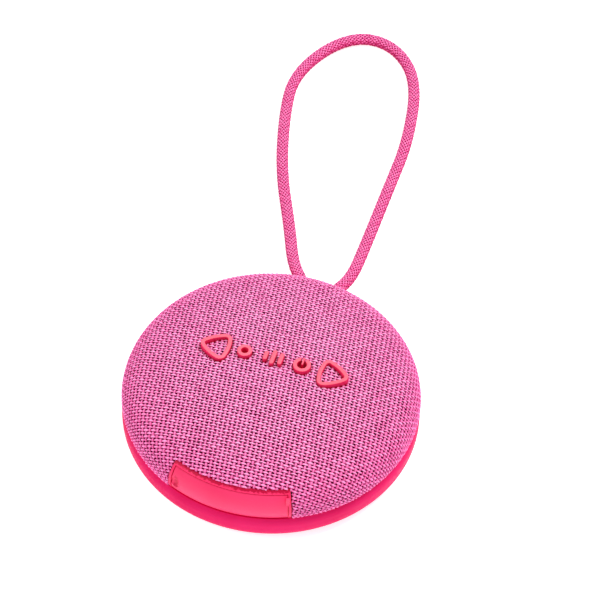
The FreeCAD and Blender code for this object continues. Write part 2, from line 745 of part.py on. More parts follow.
def make_loop_bight():
    """The hidden turn of the cord round its anchor pin."""
    left = V(-CORD_SPACING, CORD_EXIT_Y, CORD_EXIT_HEIGHT)
    right = V(CORD_SPACING, CORD_EXIT_Y, CORD_EXIT_HEIGHT)
    turn_left = V(-CORD_SPACING, ANCHOR_Y, CORD_EXIT_HEIGHT)
    turn_right = V(CORD_SPACING, ANCHOR_Y, CORD_EXIT_HEIGHT)
    bottom = V(0, ANCHOR_Y - CORD_SPACING, CORD_EXIT_HEIGHT)
    path = Part.Wire([line(left, turn_left), arc(turn_left, bottom, turn_right), line(turn_right, right)])
    add("loop_bight", swept_tube(path, CORD_RADIUS, left, V(0, -1, 0)))


def rounded_route(points):
    """Straight runs joined by tangent arcs. Returns the wire and the radii of its arcs."""
    corners = [V(*p) for p in points]
    edges = []
    radii = []
    start = corners[0]
    for before, corner, after in zip(corners, corners[1:], corners[2:]):
        back = before - corner
        ahead = after - corner
        reach = 0.45 * min(back.Length, ahead.Length)
        half_turn = (math.pi - back.getAngle(ahead)) / 2
        radius = reach / math.tan(half_turn)
        back.normalize()
        ahead.normalize()
        first = corner + back * reach
        last = corner + ahead * reach
        bisector = (back + ahead).normalize()
        middle = corner + bisector * (radius / math.cos(half_turn) - radius)
        edges.append(line(start, first))
        edges.append(arc(first, middle, last))
        radii.append(radius)
        start = last
    edges.append(line(start, corners[-1]))
    return Part.Wire(edges), radii


def make_hanging_loop():
    path, radii = rounded_route(CORD_ROUTE)
    direction = V(*CORD_ROUTE[1]) - V(*CORD_ROUTE[0])
    cord = swept_tube(path, CORD_RADIUS, V(*CORD_ROUTE[0]), direction)
    cord = Part.Solid(cord) if cord.ShapeType == "Shell" else cord
    print("cord arc radii, mm:", " ".join("%.1f" % r for r in radii))
    print("cord length, mm: %.1f" % path.Length)
    section = math.pi * CORD_RADIUS ** 2
    print("cord volume over section times length: %.4f" % (cord.Volume / (section * path.Length)))
    add("hanging_loop", cord)


# ---- driver ----

def make_driver_basket():
    rim_low = RIM_TOP - RIM_THICK
    neck = YOKE_RADIUS + GAP
    wall = [(RIM_INNER, RIM_TOP), (SEAT_OUTER, RIM_TOP), (SEAT_OUTER, rim_low), (24.6, rim_low),
            (14.6, BASKET_NECK), (neck, BASKET_NECK), (neck, BASKET_NECK + 1), (14.0, BASKET_NECK + 1),
            (15.4, BASKET_NECK + 1.9), (RIM_INNER, RIM_TOP - 0.8)]
    basket = turned_polygon(wall)
    windows = []
    for i in range(BASKET_WINDOWS):
        opening = box(14.9, 24.2, -3.4, 3.4, BASKET_NECK + 0.6, rim_low - 0.4)
        opening.rotate(V(0, 0, 0), UP, BASKET_WINDOW_ANGLE + 360 / BASKET_WINDOWS * i)
        windows.append(opening)
    add("driver_basket", basket.cut(windows))


def make_driver_motor():
    yoke = tube(YOKE_BORE, YOKE_RADIUS, YOKE_BOTTOM, YOKE_TOP)
    yoke = fused([yoke, rod(YOKE_RADIUS, YOKE_BOTTOM, YOKE_BOTTOM + YOKE_FLOOR)])
    add("driver_yoke", yoke)
    add("driver_magnet", rod(MAGNET_RADIUS, YOKE_BOTTOM + YOKE_FLOOR, MAGNET_TOP))
    add("driver_pole_plate", rod(POLE_RADIUS, MAGNET_TOP, YOKE_TOP))
    add("yoke_pad", rod(YOKE_RADIUS - 0.5, HOUSING_INSIDE, YOKE_BOTTOM))


def make_voice_coil():
    former = tube(COIL_INNER, COIL_OUTER, COIL_LOW, FORMER_TOP)
    winding = tube(COIL_OUTER, WINDING_OUTER, *WINDING_HEIGHTS)
    add("voice_coil", fused([former, winding]))


def make_cone():
    neck = COIL_OUTER + GAP / 2
    cone = [(neck, CONE_NECK_HEIGHT), (CONE_EDGE - 1.2, CONE_EDGE_HEIGHT), (CONE_EDGE, CONE_EDGE_HEIGHT),
            (CONE_EDGE, CONE_EDGE_HEIGHT - PAPER), (CONE_EDGE - 1.0, CONE_EDGE_HEIGHT - PAPER),
            (neck, CONE_NECK_HEIGHT - 1.3 * PAPER)]
    add("driver_cone", turned_polygon(cone))


def make_dust_cap():
    seat = FORMER_TOP + GAP
    centre = V(0, 0, seat - math.sqrt(DUST_CAP_BALL ** 2 - COIL_OUTER ** 2))
    outer = Part.makeSphere(DUST_CAP_BALL, centre)
    inner = Part.makeSphere(DUST_CAP_BALL - PAPER, centre)
    above = rod(COIL_OUTER, seat, seat + 6)
    add("driver_dust_cap", outer.cut(inner).common(above))


def make_roll_surround():
    middle = (CONE_EDGE + RIM_INNER) / 2 + 0.05
    low = RIM_TOP + GAP
    roll = SURROUND_ROLL
    outer = section_arc(middle, low, roll, -math.pi / 2, math.pi / 2)
    inner = section_arc(middle, low, roll - PAPER, math.pi / 2, -math.pi / 2)
    right = line(in_section(middle + roll, low), in_section(middle + roll - PAPER, low))
    left = line(in_section(middle - roll + PAPER, low), in_section(middle - roll, low))
    arch = revolved([outer, right, inner, left])
    inner_hem = tube(middle - roll - 1.3, middle - roll + PAPER, low - ROLL_HEM, low)
    outer_hem = tube(middle + roll - PAPER, middle + roll + 1.2, low, low + ROLL_HEM)
    add("driver_surround", fused([arch, inner_hem, outer_hem]))


def make_spider():
    """Corrugated centring disc between the coil and the basket."""
    first = COIL_OUTER + GAP
    half = (SPIDER_OUTER - first) / (2 * SPIDER_WAVES)
    swing = 0.35
    top = [(first + i * half, SPIDER_LOW + swing * (i % 2)) for i in range(2 * SPIDER_WAVES + 1)]
    bottom = [(r, z - 0.3) for r, z in reversed(top)]
    add("driver_spider", turned_polygon(top + bottom))


def make_driver_gasket():
    add("driver_gasket", tube(SEAT_INNER, SEAT_OUTER, GASKET_LOW, SEAT_BOTTOM))


def make_driver():
    make_driver_basket()
    make_driver_motor()
    make_voice_coil()
    make_cone()
    make_dust_cap()
    make_roll_surround()
    make_spider()
    make_driver_gasket()


# ---- electronics ----


def in_row(half_x, half_y, low, high, corner):
    """Plate centred under the row of buttons, with rounded corners."""
    return rounded_box(-half_x, half_x, BUTTON_ROW_Y - half_y, BUTTON_ROW_Y + half_y, low, high, corner, UP)


def board_screw_rods(radius, low, high):
    return [rod(radius, low, high, side * BOARD_SCREW_X, BUTTON_ROW_Y) for side in (-1, 1)]


def make_button_bridge():
    strip = in_row(BRIDGE_END, BRIDGE_HALF_WIDTH, BRIDGE_BOTTOM, BRIDGE_TOP, 1.0)
    tray = in_row(*TRAY_HALF, BRIDGE_BOTTOM, BRIDGE_TOP, 1.5)
    pilots = board_screw_rods(BOARD_SCREW_SHANK + 0.03, BRIDGE_BOTTOM - 1, BRIDGE_TOP + 1)
    add("button_bridge", fused([strip, tray]).cut(pilots))


def make_button_board():
    low = BOARD_TOP - BOARD_THICK
    board = in_row(*BOARD_HALF, low, BOARD_TOP, 1.2)
    holes = board_screw_rods(BOARD_SCREW_SHANK + 0.2, low - 1, BOARD_TOP + 1)
    add("button_board", board.cut(holes))
    radius, tall = BOARD_SCREW_HEAD
    heads = board_screw_rods(radius, BOARD_TOP, BOARD_TOP + tall)
    shanks = board_screw_rods(BOARD_SCREW_SHANK, BRIDGE_BOTTOM + 0.1, BOARD_TOP)
    screws = [fused([head, shank]) for head, shank in zip(heads, shanks)]
    add("button_board_screws", Part.makeCompound(screws))


def make_main_board():
    low = MAIN_BOARD_TOP - BOARD_THICK
    board = rounded_box(-MAIN_BOARD_HALF, MAIN_BOARD_HALF, MAIN_BOARD_FRONT, MAIN_BOARD_BACK,
                        low, MAIN_BOARD_TOP, 2.0, UP)
    radius, reach = MAIN_SCREW
    head_radius, head_height = MAIN_SCREW_HEAD
    holes = []
    screws = []
    for side in (-1, 1):
        x = side * STANDOFF[0]
        holes.append(rod(radius + 0.2, low - 1, MAIN_BOARD_TOP + 1, x, STANDOFF[1]))
        head = rod(head_radius, MAIN_BOARD_TOP, MAIN_BOARD_TOP + head_height, x, STANDOFF[1])
        shank = rod(radius, MAIN_BOARD_TOP - reach, MAIN_BOARD_TOP, x, STANDOFF[1])
        screws.append(fused([head, shank]))
    add("main_board", board.cut(holes))
    add("main_board_screws", Part.makeCompound(screws))


def make_chips():
    bodies = []
    for x, y, wide, deep, tall in CHIPS:
        bodies.append(box(x - wide / 2, x + wide / 2, y - deep / 2, y + deep / 2,
                          MAIN_BOARD_TOP, MAIN_BOARD_TOP + tall))
    add("board_chips", Part.makeCompound(bodies))


def make_usb_socket():
    front = -(PORT_PLATE + 0.1)
    back = front + USB_DEPTH
    high = MAIN_BOARD_TOP + USB_HEIGHT
    middle = (MAIN_BOARD_TOP + high) / 2
    half = USB_HALF_WIDTH
    inner = half - USB_WALL
    tongue_half, tongue_thick = USB_TONGUE
    shell = rounded_box(USB_X - half, USB_X + half, front, back, MAIN_BOARD_TOP, high,
                        USB_CORNER, V(0, 1, 0))
    mouth = rounded_box(USB_X - inner, USB_X + inner, front - 1, back - 0.9, MAIN_BOARD_TOP + USB_WALL,
                        high - USB_WALL, USB_CORNER - USB_WALL, V(0, 1, 0))
    tongue = box(USB_X - tongue_half, USB_X + tongue_half, front + 0.6, back - 0.7,
                 middle - tongue_thick, middle + tongue_thick)
    add("usb_socket", fused([shell.cut(mouth), tongue]))


def make_aux_socket():
    back = -(PORT_PLATE - PORT_PLATE_THICK) + 0.1
    mouth_y = -(PORT_PLATE + 0.1)
    top = 2 * AUX_AXIS_HEIGHT - MAIN_BOARD_TOP
    body = box(AUX_X - AUX_HALF_WIDTH, AUX_X + AUX_HALF_WIDTH, back, back + AUX_DEPTH, MAIN_BOARD_TOP, top)
    nose = Part.makeCylinder(AUX_NOSE, back - mouth_y, V(AUX_X, mouth_y, AUX_AXIS_HEIGHT), V(0, 1, 0))
    bore = Part.makeCylinder(AUX_BORE, AUX_DEPTH + 5, V(AUX_X, mouth_y - 1, AUX_AXIS_HEIGHT), V(0, 1, 0))
    add("aux_socket", fused([body, nose]).cut(bore))


def make_battery():
    wide, deep, tall = BATTERY_SIZE
    low = HOUSING_INSIDE + PAD_UNDER_BATTERY
    cell = rounded_box(-wide / 2, wide / 2, BATTERY_FRONT, BATTERY_FRONT + deep, low, low + tall,
                       BATTERY_CORNER, V(0, 1, 0))
    add("battery_cell", cell)
    add("battery_pad", box(-wide / 2 + 2, wide / 2 - 2, BATTERY_FRONT + 1, BATTERY_FRONT + deep - 1,
                           HOUSING_INSIDE, low))


def make_flex_cable():
    """Ribbon from the button board through the seat ring down to the main board."""
    half = FLEX_HALF_WIDTH
    thick = FLEX_THICK
    front = -FLEX_FRONT
    top = BOARD_TOP + FLEX_LIFT
    low = MAIN_BOARD_TOP + FLEX_LIFT
    over = box(-half, half, front, BUTTON_ROW_Y - BRIDGE_HALF_WIDTH, top, top + thick)
    down = box(-half, half, front, front + thick, low, top + thick)
    foot = box(-half, half, front - FLEX_FOOT, front + thick, low, low + thick)
    add("flex_cable", fused([over, down, foot]))


def wire_run(points, radius):
    path = rounded_route(points)[0]
    return swept_tube(path, radius, V(*points[0]), V(*points[1]) - V(*points[0]))


def make_wires():
    speaker = []
    for side in (-1, 1):
        route = [(side * x, y, z) for x, y, z in SPEAKER_WIRE_ROUTE]
        speaker.append(wire_run(route, SPEAKER_WIRE))
    add("speaker_wires", Part.makeCompound(speaker))
    battery = []
    for shift in (0.0, BATTERY_WIRE_PITCH):
        route = [(x + shift, y, z) for x, y, z in BATTERY_WIRE_ROUTE]
        battery.append(wire_run(route, BATTERY_WIRE))
    add("battery_wires", Part.makeCompound(battery))


def make_electronics():
    make_button_bridge()
    make_button_board()
    make_main_board()
    make_chips()
    make_usb_socket()
    make_aux_socket()
    make_battery()
    make_flex_cable()
    make_wires()


def main():
    make_bumper()
    make_base_pad()
    make_rear_housing()
    make_seal_ring()
    make_housing_screws()
    make_fabric_cover()
    make_grille_frame()
    make_buttons()
    make_port_surround()
    make_port_cover()
    make_grommet()
    make_anchor()
    make_loop_bight()
    make_hanging_loop()
    make_driver()
    make_electronics()
    os.makedirs("parts", exist_ok=True)
    for name, shape in NODES.items():
        solids = len(shape.Solids)
        print("%-22s solids %d valid %s volume %.1f" % (name, solids, shape.isValid(), shape.Volume))
        shape.exportStep("parts/" + name + ".step")


main()
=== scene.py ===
import json
import math

import bpy
import numpy as np
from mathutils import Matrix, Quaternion, Vector


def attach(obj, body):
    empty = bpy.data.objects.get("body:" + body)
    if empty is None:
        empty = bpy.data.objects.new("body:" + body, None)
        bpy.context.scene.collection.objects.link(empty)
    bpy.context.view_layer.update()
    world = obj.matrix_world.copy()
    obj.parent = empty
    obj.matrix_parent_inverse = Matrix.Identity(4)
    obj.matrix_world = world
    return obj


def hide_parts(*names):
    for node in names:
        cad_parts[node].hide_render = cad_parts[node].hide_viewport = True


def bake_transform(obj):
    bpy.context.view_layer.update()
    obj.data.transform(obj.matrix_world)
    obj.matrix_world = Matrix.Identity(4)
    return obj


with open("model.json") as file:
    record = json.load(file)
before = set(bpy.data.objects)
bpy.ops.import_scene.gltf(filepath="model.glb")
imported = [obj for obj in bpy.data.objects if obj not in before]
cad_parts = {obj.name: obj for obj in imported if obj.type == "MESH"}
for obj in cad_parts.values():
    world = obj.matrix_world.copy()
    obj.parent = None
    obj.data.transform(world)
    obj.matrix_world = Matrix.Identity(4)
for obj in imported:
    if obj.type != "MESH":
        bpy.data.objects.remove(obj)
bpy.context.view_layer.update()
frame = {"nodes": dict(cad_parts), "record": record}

# Shower speaker: a round puck under a woven, domed cover, with raised rubber buttons, a rubber
# bumper, a flap over the sockets and a braided loop. Metres, +Z up, the flap towards -Y.

MM = 0.001
BODY = "speaker_body"

# The skin in section: a dome, a rounded edge and a short roll in to the seam with the bumper.
DOME_RADIUS = 160.0 * MM
DOME_TOP = 26.45 * MM
EDGE_RADIUS = 9.3 * MM
BODY_RADIUS = 45.0 * MM
SEAM_HEIGHT = 9.6 * MM
SEAM_RADIUS = 44.0 * MM
SPHERE_Z = DOME_TOP - DOME_RADIUS
EDGE_R = BODY_RADIUS - EDGE_RADIUS
EDGE_Z = SPHERE_Z + math.sqrt((DOME_RADIUS - EDGE_RADIUS) ** 2 - EDGE_R ** 2)
EDGE_ANGLE = math.atan2(EDGE_R, EDGE_Z - SPHERE_Z)
ROLL_IN = BODY_RADIUS - SEAM_RADIUS
ROLL_RADIUS = ((EDGE_Z - SEAM_HEIGHT) ** 2 + ROLL_IN ** 2) / (2 * ROLL_IN)
ROLL_R = BODY_RADIUS - ROLL_RADIUS
DOME_REACH = DOME_RADIUS * EDGE_ANGLE
EDGE_REACH = DOME_REACH + EDGE_RADIUS * (math.pi / 2 - EDGE_ANGLE)
SKIN_REACH = EDGE_REACH + ROLL_RADIUS * math.asin((EDGE_Z - SEAM_HEIGHT) / ROLL_RADIUS)

# The weave: warp threads run from the flap towards the loop, weft threads across them, both a little
# askew. A thread's half sizes are its half width and half thickness.
WARP_PITCH = 1.37 * MM
WEFT_PITCH = 0.993 * MM
WARP_ACROSS = math.radians(8.2)
WEFT_ACROSS = math.radians(91.0)
WARP_HALF = (0.36 * MM, 0.15 * MM)
WEFT_HALF = (0.28 * MM, 0.14 * MM)
WARP_WAVE = 0.18 * MM
WEFT_WAVE = 0.22 * MM
WEAVE_DEPTH = 0.32 * MM
SAMPLES_PER_CROSSING = 3
THREAD_SIDES = 6
WEAVE_END = SKIN_REACH - 0.05 * MM
SPARE_WARPS = 6
SPARE_WEFTS = 8

# How uneven the threads are: their rise and width as a share of their own, their place as a share of
# the pitch
UNEVEN_RISE = 0.12
UNEVEN_PLACE = 0.05
UNEVEN_WIDTH = 0.16
UNEVEN_WIDTH_LIMITS = (-2, 1.2)
UNEVEN_VALUES = 160

# The dark lining under the threads
BACKING_DEPTH = 0.72 * MM
BACKING_THICK = 0.14 * MM
BACKING_RINGS = 118
BACKING_AROUND = 400

# The window that the cloth leaves for the flap, and how its edge folds in.
WINDOW_ANGLES = (math.radians(-25.3), math.radians(25.4))
WINDOW_TOP = 20.3 * MM
WINDOW_CORNER = 1.3 * MM
WINDOW_FOLD = 0.3 * MM
WINDOW_MIDDLE = sum(WINDOW_ANGLES) / 2
WINDOW_HALF = (WINDOW_ANGLES[1] - WINDOW_MIDDLE) * BODY_RADIUS
WINDOW_REACH = DOME_REACH + EDGE_RADIUS * (math.acos((WINDOW_TOP - EDGE_Z) / EDGE_RADIUS) - EDGE_ANGLE)

# Buttons, and how the cloth dips beside them
BUTTON_ROW_Y = 2.3 * MM
TRIANGLE_X = {-1: -18.6 * MM, 1: 18.4 * MM}
TRIANGLE_CORNER = 2.0 * MM
TRIANGLE_SIDE = 14.0 * MM
TRIANGLE_CENTRES = ((-2.4 * MM, 0.0), (2.4 * MM, 2.95 * MM), (2.4 * MM, -2.95 * MM))
STROKE = 1.25 * MM
SMALL_RING = (-9.3 * MM, 2.25 * MM)
POWER_RING = (8.5 * MM, 2.7 * MM)
BARS = ((-2.75 * MM, 3.4 * MM), (-0.4 * MM, 5.4 * MM), (1.95 * MM, 4.4 * MM))
BAR_HALF = 0.65 * MM
BUTTON_CREASE = 0.28 * MM
CREASE_REACH = 0.9 * MM
THREAD_CLEAR = 0.06 * MM

# The woven patch inside a triangle button, and the plate under it
INLAY_SPAN = 8
INLAY_LIMIT = 40
PLATE_AROUND = 72
PLATE_SEARCH = 2.5 * TRIANGLE_CORNER
PLATE_HALVINGS = 24

# Painted light and shade: how far ambient occlusion looks for the painted shade in rubber creases, the
# strength of a painted glow in rubber that stands in for light seeping through it, the heights in
# millimetres between which the cover's yarn takes on painted shade and painted reflected red from the bumper
# towards its rim, and two painted shade marks, each with its middle in millimetres, how it is stretched and
# how far it
# reaches: painted shade in the flap's notch and a painted shadow under the cover's edge
CREASE_SHADE_DISTANCE = 1.6 * MM
PAINTED_GLOW = 0.2
RIM_BOUNCE_HEIGHTS = (25.2, 18.0)
RIM_BOUNCE_TINT = (1.0, 0.64, 0.83)
NOTCH_SHADE = ((-16.5, -41.6, 14.3), (1.4, 1.0, 0.6), (0.8, 1.8))
BRIM_SHADOW = ((0.0, 0.0, 20.3), (0.0, 0.0, 1.0), (0.75, 1.1))
PAINTED_SHADE_COLOUR = (0.40, 0.0, 0.03)

# The strip of rubber between the flap and its surround; the two angles are where it starts and ends
WEB_ANGLES = (math.radians(22.9), math.radians(24.4))
WEB_HEIGHTS = (10.35 * MM, 18.9 * MM)
WEB_RADII = (43.35 * MM, 43.95 * MM)
WEB_COLUMNS = 13
WEB_STEPS = 12

# Camera
CAMERA_ELEVATION = math.radians(51.5)
CAMERA_AZIMUTH = math.radians(16.34)
CAMERA_ROLL = math.radians(2.12)
CAMERA_DISTANCE = 0.8
CAMERA_LENS = 160.0
CAMERA_CLIP = 0.05
BODY_MIDDLE = Vector((0.0, 0.0, 0.015))
FRAMING_RIGHT = 7.85 * MM
FRAMING_UP = 27.0 * MM

# Stage
FLOOR_HALF = 3.0
FLOOR_DROP = 0.05 * MM
FLOOR_GLOW = 0.75
SKY_STRENGTH = 0.42

# Loop: the cord's route in metres, then its core and the braid round it
CORD_ROUTE = (
    (-0.0046, 0.0443, 0.0059), (-0.0046, 0.0498, 0.0059), (-0.0112, 0.0588, 0.004),
    (-0.0173, 0.0751, 0.0022), (-0.0274, 0.0981, 0.00205), (-0.0343, 0.1242, 0.00202),
    (-0.0364, 0.1418, 0.00205), (-0.0294, 0.159, 0.00202), (-0.019, 0.1678, 0.00205),
    (-0.0063, 0.1653, 0.00202), (0.0041, 0.1518, 0.00205), (0.0086, 0.1241, 0.00202),
    (0.0083, 0.1029, 0.00205), (0.0081, 0.0751, 0.0022), (0.0081, 0.0589, 0.004),
    (0.0046, 0.0498, 0.0059), (0.0046, 0.0443, 0.0059),
)
CORD_CORE = 1.7 * MM
BRAID_RADIUS = 1.80 * MM
BRAID_WAVE = 0.10 * MM
BRAID_ANGLE = math.radians(36)
CARRIERS = 10
STRAND_SIDES = 4
STRAND_HALF = (0.38 * MM, 0.12 * MM)


# ---- mesh helpers ----

def link_object(name, data):
    made = bpy.data.objects.new(name, data)
    bpy.context.scene.collection.objects.link(made)
    return made


def add_piece(name, mesh, body):
    piece = link_object(name, mesh)
    if body:
        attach(piece, body)
    return piece


class Soup:
    """Gathers many small closed forms into one mesh."""

    def __init__(self):
        self.points = []
        self.loops = []
        self.sizes = []
        self.uvs = []
        self.relief = []
        self.count = 0

    def add(self, points, relief, loops, sizes, uvs):
        self.points.append(points)
        self.relief.append(relief)
        self.loops.append(loops + self.count)
        self.sizes.append(sizes)
        self.uvs.append(uvs)
        self.count += len(points)

    def mesh(self, name):
        points = np.concatenate(self.points)
        loops = np.concatenate(self.loops)
        sizes = np.concatenate(self.sizes)
        made = bpy.data.meshes.new(name)
        made.vertices.add(len(points))
        made.vertices.foreach_set("co", points.astype(np.float32).ravel())
        made.loops.add(len(loops))
        made.loops.foreach_set("vertex_index", loops.astype(np.int32))
        made.polygons.add(len(sizes))
        starts = np.concatenate([[0], np.cumsum(sizes)[:-1]])
        made.polygons.foreach_set("loop_start", starts.astype(np.int32))
        layer = made.uv_layers.new(name="along")
        layer.data.foreach_set("uv", np.concatenate(self.uvs).astype(np.float32).ravel())
        raised = made.attributes.new("relief", "FLOAT", "POINT")
        raised.data.foreach_set("value", np.concatenate(self.relief).astype(np.float32))
        made.polygons.foreach_set("use_smooth", np.ones(len(sizes), bool))
        made.update(calc_edges=True)
        return made


def thread(soup, centre, side, up, rise, half_width, half_thick, around):
    """Closed flattened tube along a run of points that rises and dips, with its height kept as relief.

    The half width is one number, or one for each point. The UVs run along it in millimetres and round it."""
    steps = len(centre)
    turn = 2 * math.pi * np.arange(around) / around
    ring = (np.cos(turn)[None, :, None] * side[:, None, :] * np.reshape(half_width, (-1, 1, 1))
            + np.sin(turn)[None, :, None] * up[:, None, :] * half_thick)
    points = (centre[:, None, :] + ring).reshape(-1, 3)
    relief = (rise[:, None] + np.sin(turn)[None, :] * half_thick).reshape(-1) / MM
    along = np.concatenate([[0], np.cumsum(np.linalg.norm(np.diff(centre, axis=0), axis=1))]) / MM
    i, j = np.meshgrid(np.arange(steps - 1), np.arange(around), indexing="ij")
    following = (j + 1) % around
    quads = np.stack([i * around + j, (i + 1) * around + j,
                      (i + 1) * around + following, i * around + following], -1).reshape(-1)
    uv = np.stack([np.stack([along[i], along[i + 1], along[i + 1], along[i]], -1),
                   np.stack([j, j, j + 1, j + 1], -1) / around], -1).reshape(-1, 2)
    first = np.arange(around)
    last = (steps - 1) * around + first[::-1]
    cap_uv = np.zeros((2 * around, 2))
    soup.add(points, relief, np.concatenate([quads, first, last]),
             np.concatenate([np.full(len(quads) // 4, 4), [around, around]]),
             np.concatenate([uv, cap_uv]))


def unit(vectors):
    return vectors / np.linalg.norm(vectors, axis=-1, keepdims=True)


# ---- the skin ----

def skin_section(reach):
    """Radius, height and the lean of its normal from upright, at a distance from the top along the skin."""
    dome = np.clip(reach, 0, DOME_REACH) / DOME_RADIUS
    edge = EDGE_ANGLE + np.clip(reach - DOME_REACH, 0, EDGE_REACH - DOME_REACH) / EDGE_RADIUS
    roll = np.maximum(reach - EDGE_REACH, 0) / ROLL_RADIUS
    on_dome = reach <= DOME_REACH
    on_edge = ~on_dome & (reach <= EDGE_REACH)
    lean = np.where(on_dome, dome, np.where(on_edge, edge, math.pi / 2 + roll))
    lower_radius = np.where(on_edge, EDGE_R + EDGE_RADIUS * np.sin(edge),
                            ROLL_R + ROLL_RADIUS * np.cos(roll))
    lower_height = np.where(on_edge, EDGE_Z + EDGE_RADIUS * np.cos(edge),
                            EDGE_Z - ROLL_RADIUS * np.sin(roll))
    radius = np.where(on_dome, DOME_RADIUS * np.sin(dome), lower_radius)
    height = np.where(on_dome, SPHERE_Z + DOME_RADIUS * np.cos(dome), lower_height)
    return radius, height, lean


def on_skin(flat, lift):
    """Points on the skin for flat cloth coordinates, raised by lift along the normal, and the normals."""
    reach = np.hypot(flat[:, 0], flat[:, 1])
    safe = np.maximum(reach, 1e-9)
    east, north = flat[:, 0] / safe, flat[:, 1] / safe
    radius, height, lean = skin_section(reach)
    normal = np.stack([east * np.sin(lean), north * np.sin(lean), np.cos(lean)], -1)
    place = np.stack([east * radius, north * radius, height], -1)
    return place + normal * lift[:, None], normal


def floor_plan(flat):
    """X and Y of the skin under flat cloth coordinates."""
    reach = np.maximum(np.hypot(flat[:, 0], flat[:, 1]), 1e-9)
    return flat * (skin_section(reach)[0] / reach)[:, None]


# ---- flat distances to the buttons and the window, positive outside ----

def to_circle(plan, x, radius):
    return np.hypot(plan[:, 0] - x, plan[:, 1] - BUTTON_ROW_Y) - radius


def to_bar(plan, x, tall):
    dx = np.abs(plan[:, 0] - x)
    dy = np.maximum(np.abs(plan[:, 1] - BUTTON_ROW_Y) - (tall / 2 - BAR_HALF), 0)
    return np.hypot(dx, dy) - BAR_HALF


def to_triangle(plan, pointing):
    """Distance to a triangle with round corners and gently bowed sides."""
    shift = np.array([TRIANGLE_X[pointing], BUTTON_ROW_Y])
    corners = [np.array([-pointing * x, y]) + shift for x, y in TRIANGLE_CENTRES]
    middle = sum(corners) / 3
    hubs = []
    for k, corner in enumerate(corners):
        side = corners[(k + 1) % 3] - corner
        half = corner + side / 2
        out = half - middle
        out -= side * (out @ side) / (side @ side)
        rise = math.sqrt((TRIANGLE_SIDE - TRIANGLE_CORNER) ** 2 - side @ side / 4)
        hubs.append(half - unit(out) * rise)
    distance = np.max([np.hypot(*(plan - hub).T) - TRIANGLE_SIDE for hub in hubs], axis=0)
    for k, corner in enumerate(corners):
        spread = np.linalg.inv(np.stack([unit(corner - hubs[k]), unit(corner - hubs[k - 1])], -1))
        beyond = ((plan - corner) @ spread.T > 0).all(axis=1)
        distance = np.where(beyond, np.hypot(*(plan - corner).T) - TRIANGLE_CORNER, distance)
    return distance


def to_buttons(plan):
    gaps = [to_triangle(plan, -1), to_triangle(plan, 1),
            to_circle(plan, *SMALL_RING), to_circle(plan, *POWER_RING)]
    gaps += [to_bar(plan, x, tall) for x, tall in BARS]
    return np.min(gaps, axis=0)


def to_window(flat):
    """Distance to the flap's window, which has round upper corners and is open downwards."""
    angle = np.arctan2(flat[:, 0], -flat[:, 1])
    reach = np.hypot(flat[:, 0], flat[:, 1])
    over = np.abs(angle - WINDOW_MIDDLE) * BODY_RADIUS - WINDOW_HALF + WINDOW_CORNER
    above = WINDOW_REACH + WINDOW_CORNER - reach
    outside = np.hypot(np.maximum(over, 0), np.maximum(above, 0))
    return outside + np.minimum(np.maximum(over, above), 0) - WINDOW_CORNER


def cover_field(flat):
    """Positive where the cover's cloth lies."""
    reach = np.hypot(flat[:, 0], flat[:, 1])
    clear = np.minimum(WEAVE_END - reach, to_window(flat))
    return np.minimum(clear, to_buttons(floor_plan(flat)) - THREAD_CLEAR)


def inlay_field(pointing):
    """Makes the field that is positive inside a triangle button's opening."""
    def field(flat):
        plan = floor_plan(flat)
        return -(to_triangle(plan, pointing) + STROKE) - THREAD_CLEAR
    return field


def dent(flat):
    """How far the cloth dips at a button's wall and folds in at the window."""
    beside = np.clip(to_buttons(floor_plan(flat)) / CREASE_REACH, 0, 1)
    crease = BUTTON_CREASE * (1 - beside) ** 2
    near = np.clip(WINDOW_FOLD - to_window(flat), 0, WINDOW_FOLD)
    return crease + WINDOW_FOLD - np.sqrt(WINDOW_FOLD ** 2 - near ** 2)


def inlay_dent(flat):
    return np.zeros(len(flat))


# ---- weave ----

ACROSS = np.array([[math.cos(WARP_ACROSS), math.sin(WARP_ACROSS)],
                   [math.cos(WEFT_ACROSS), math.sin(WEFT_ACROSS)]])
FROM_GRID = np.linalg.inv(ACROSS) @ np.diag([WARP_PITCH, WEFT_PITCH])


def flat_of(is_warp, index, steps):
    """Flat cloth coordinates along one thread, at steps counted in crossings."""
    fixed = np.full(len(steps), float(index))
    grid = np.stack([fixed, steps] if is_warp else [steps, fixed], -1)
    return grid @ FROM_GRID.T


def kept_runs(is_warp, index, field, limit):
    """Stretches of a thread inside the field, each ending exactly on its edge."""
    last_sample = limit * SAMPLES_PER_CROSSING
    steps = np.arange(-last_sample, last_sample + 1) / SAMPLES_PER_CROSSING
    room = field(flat_of(is_warp, index, steps))
    inside = np.flatnonzero(room > 0)
    if len(inside) == 0:
        return []
    runs = []
    for chunk in np.split(inside, np.flatnonzero(np.diff(inside) > 1) + 1):
        first, last = chunk[0], chunk[-1]
        run = list(steps[first:last + 1])
        if first > 0:
            share = room[first] / (room[first] - room[first - 1])
            run.insert(0, steps[first] - share / SAMPLES_PER_CROSSING)
        if last < len(steps) - 1:
            share = room[last] / (room[last] - room[last + 1])
            run.append(steps[last] + share / SAMPLES_PER_CROSSING)
        if len(run) > 2:
            runs.append(np.array(run))
    return runs


def uneven(is_warp, index, steps, kind):
    """Small smooth random swing along a thread, about one value to a crossing."""
    dice = np.random.default_rng((abs(index), int(index < 0), int(is_warp), kind))
    values = dice.normal(size=UNEVEN_VALUES)
    return np.interp(steps + UNEVEN_VALUES / 2, np.arange(UNEVEN_VALUES), values)


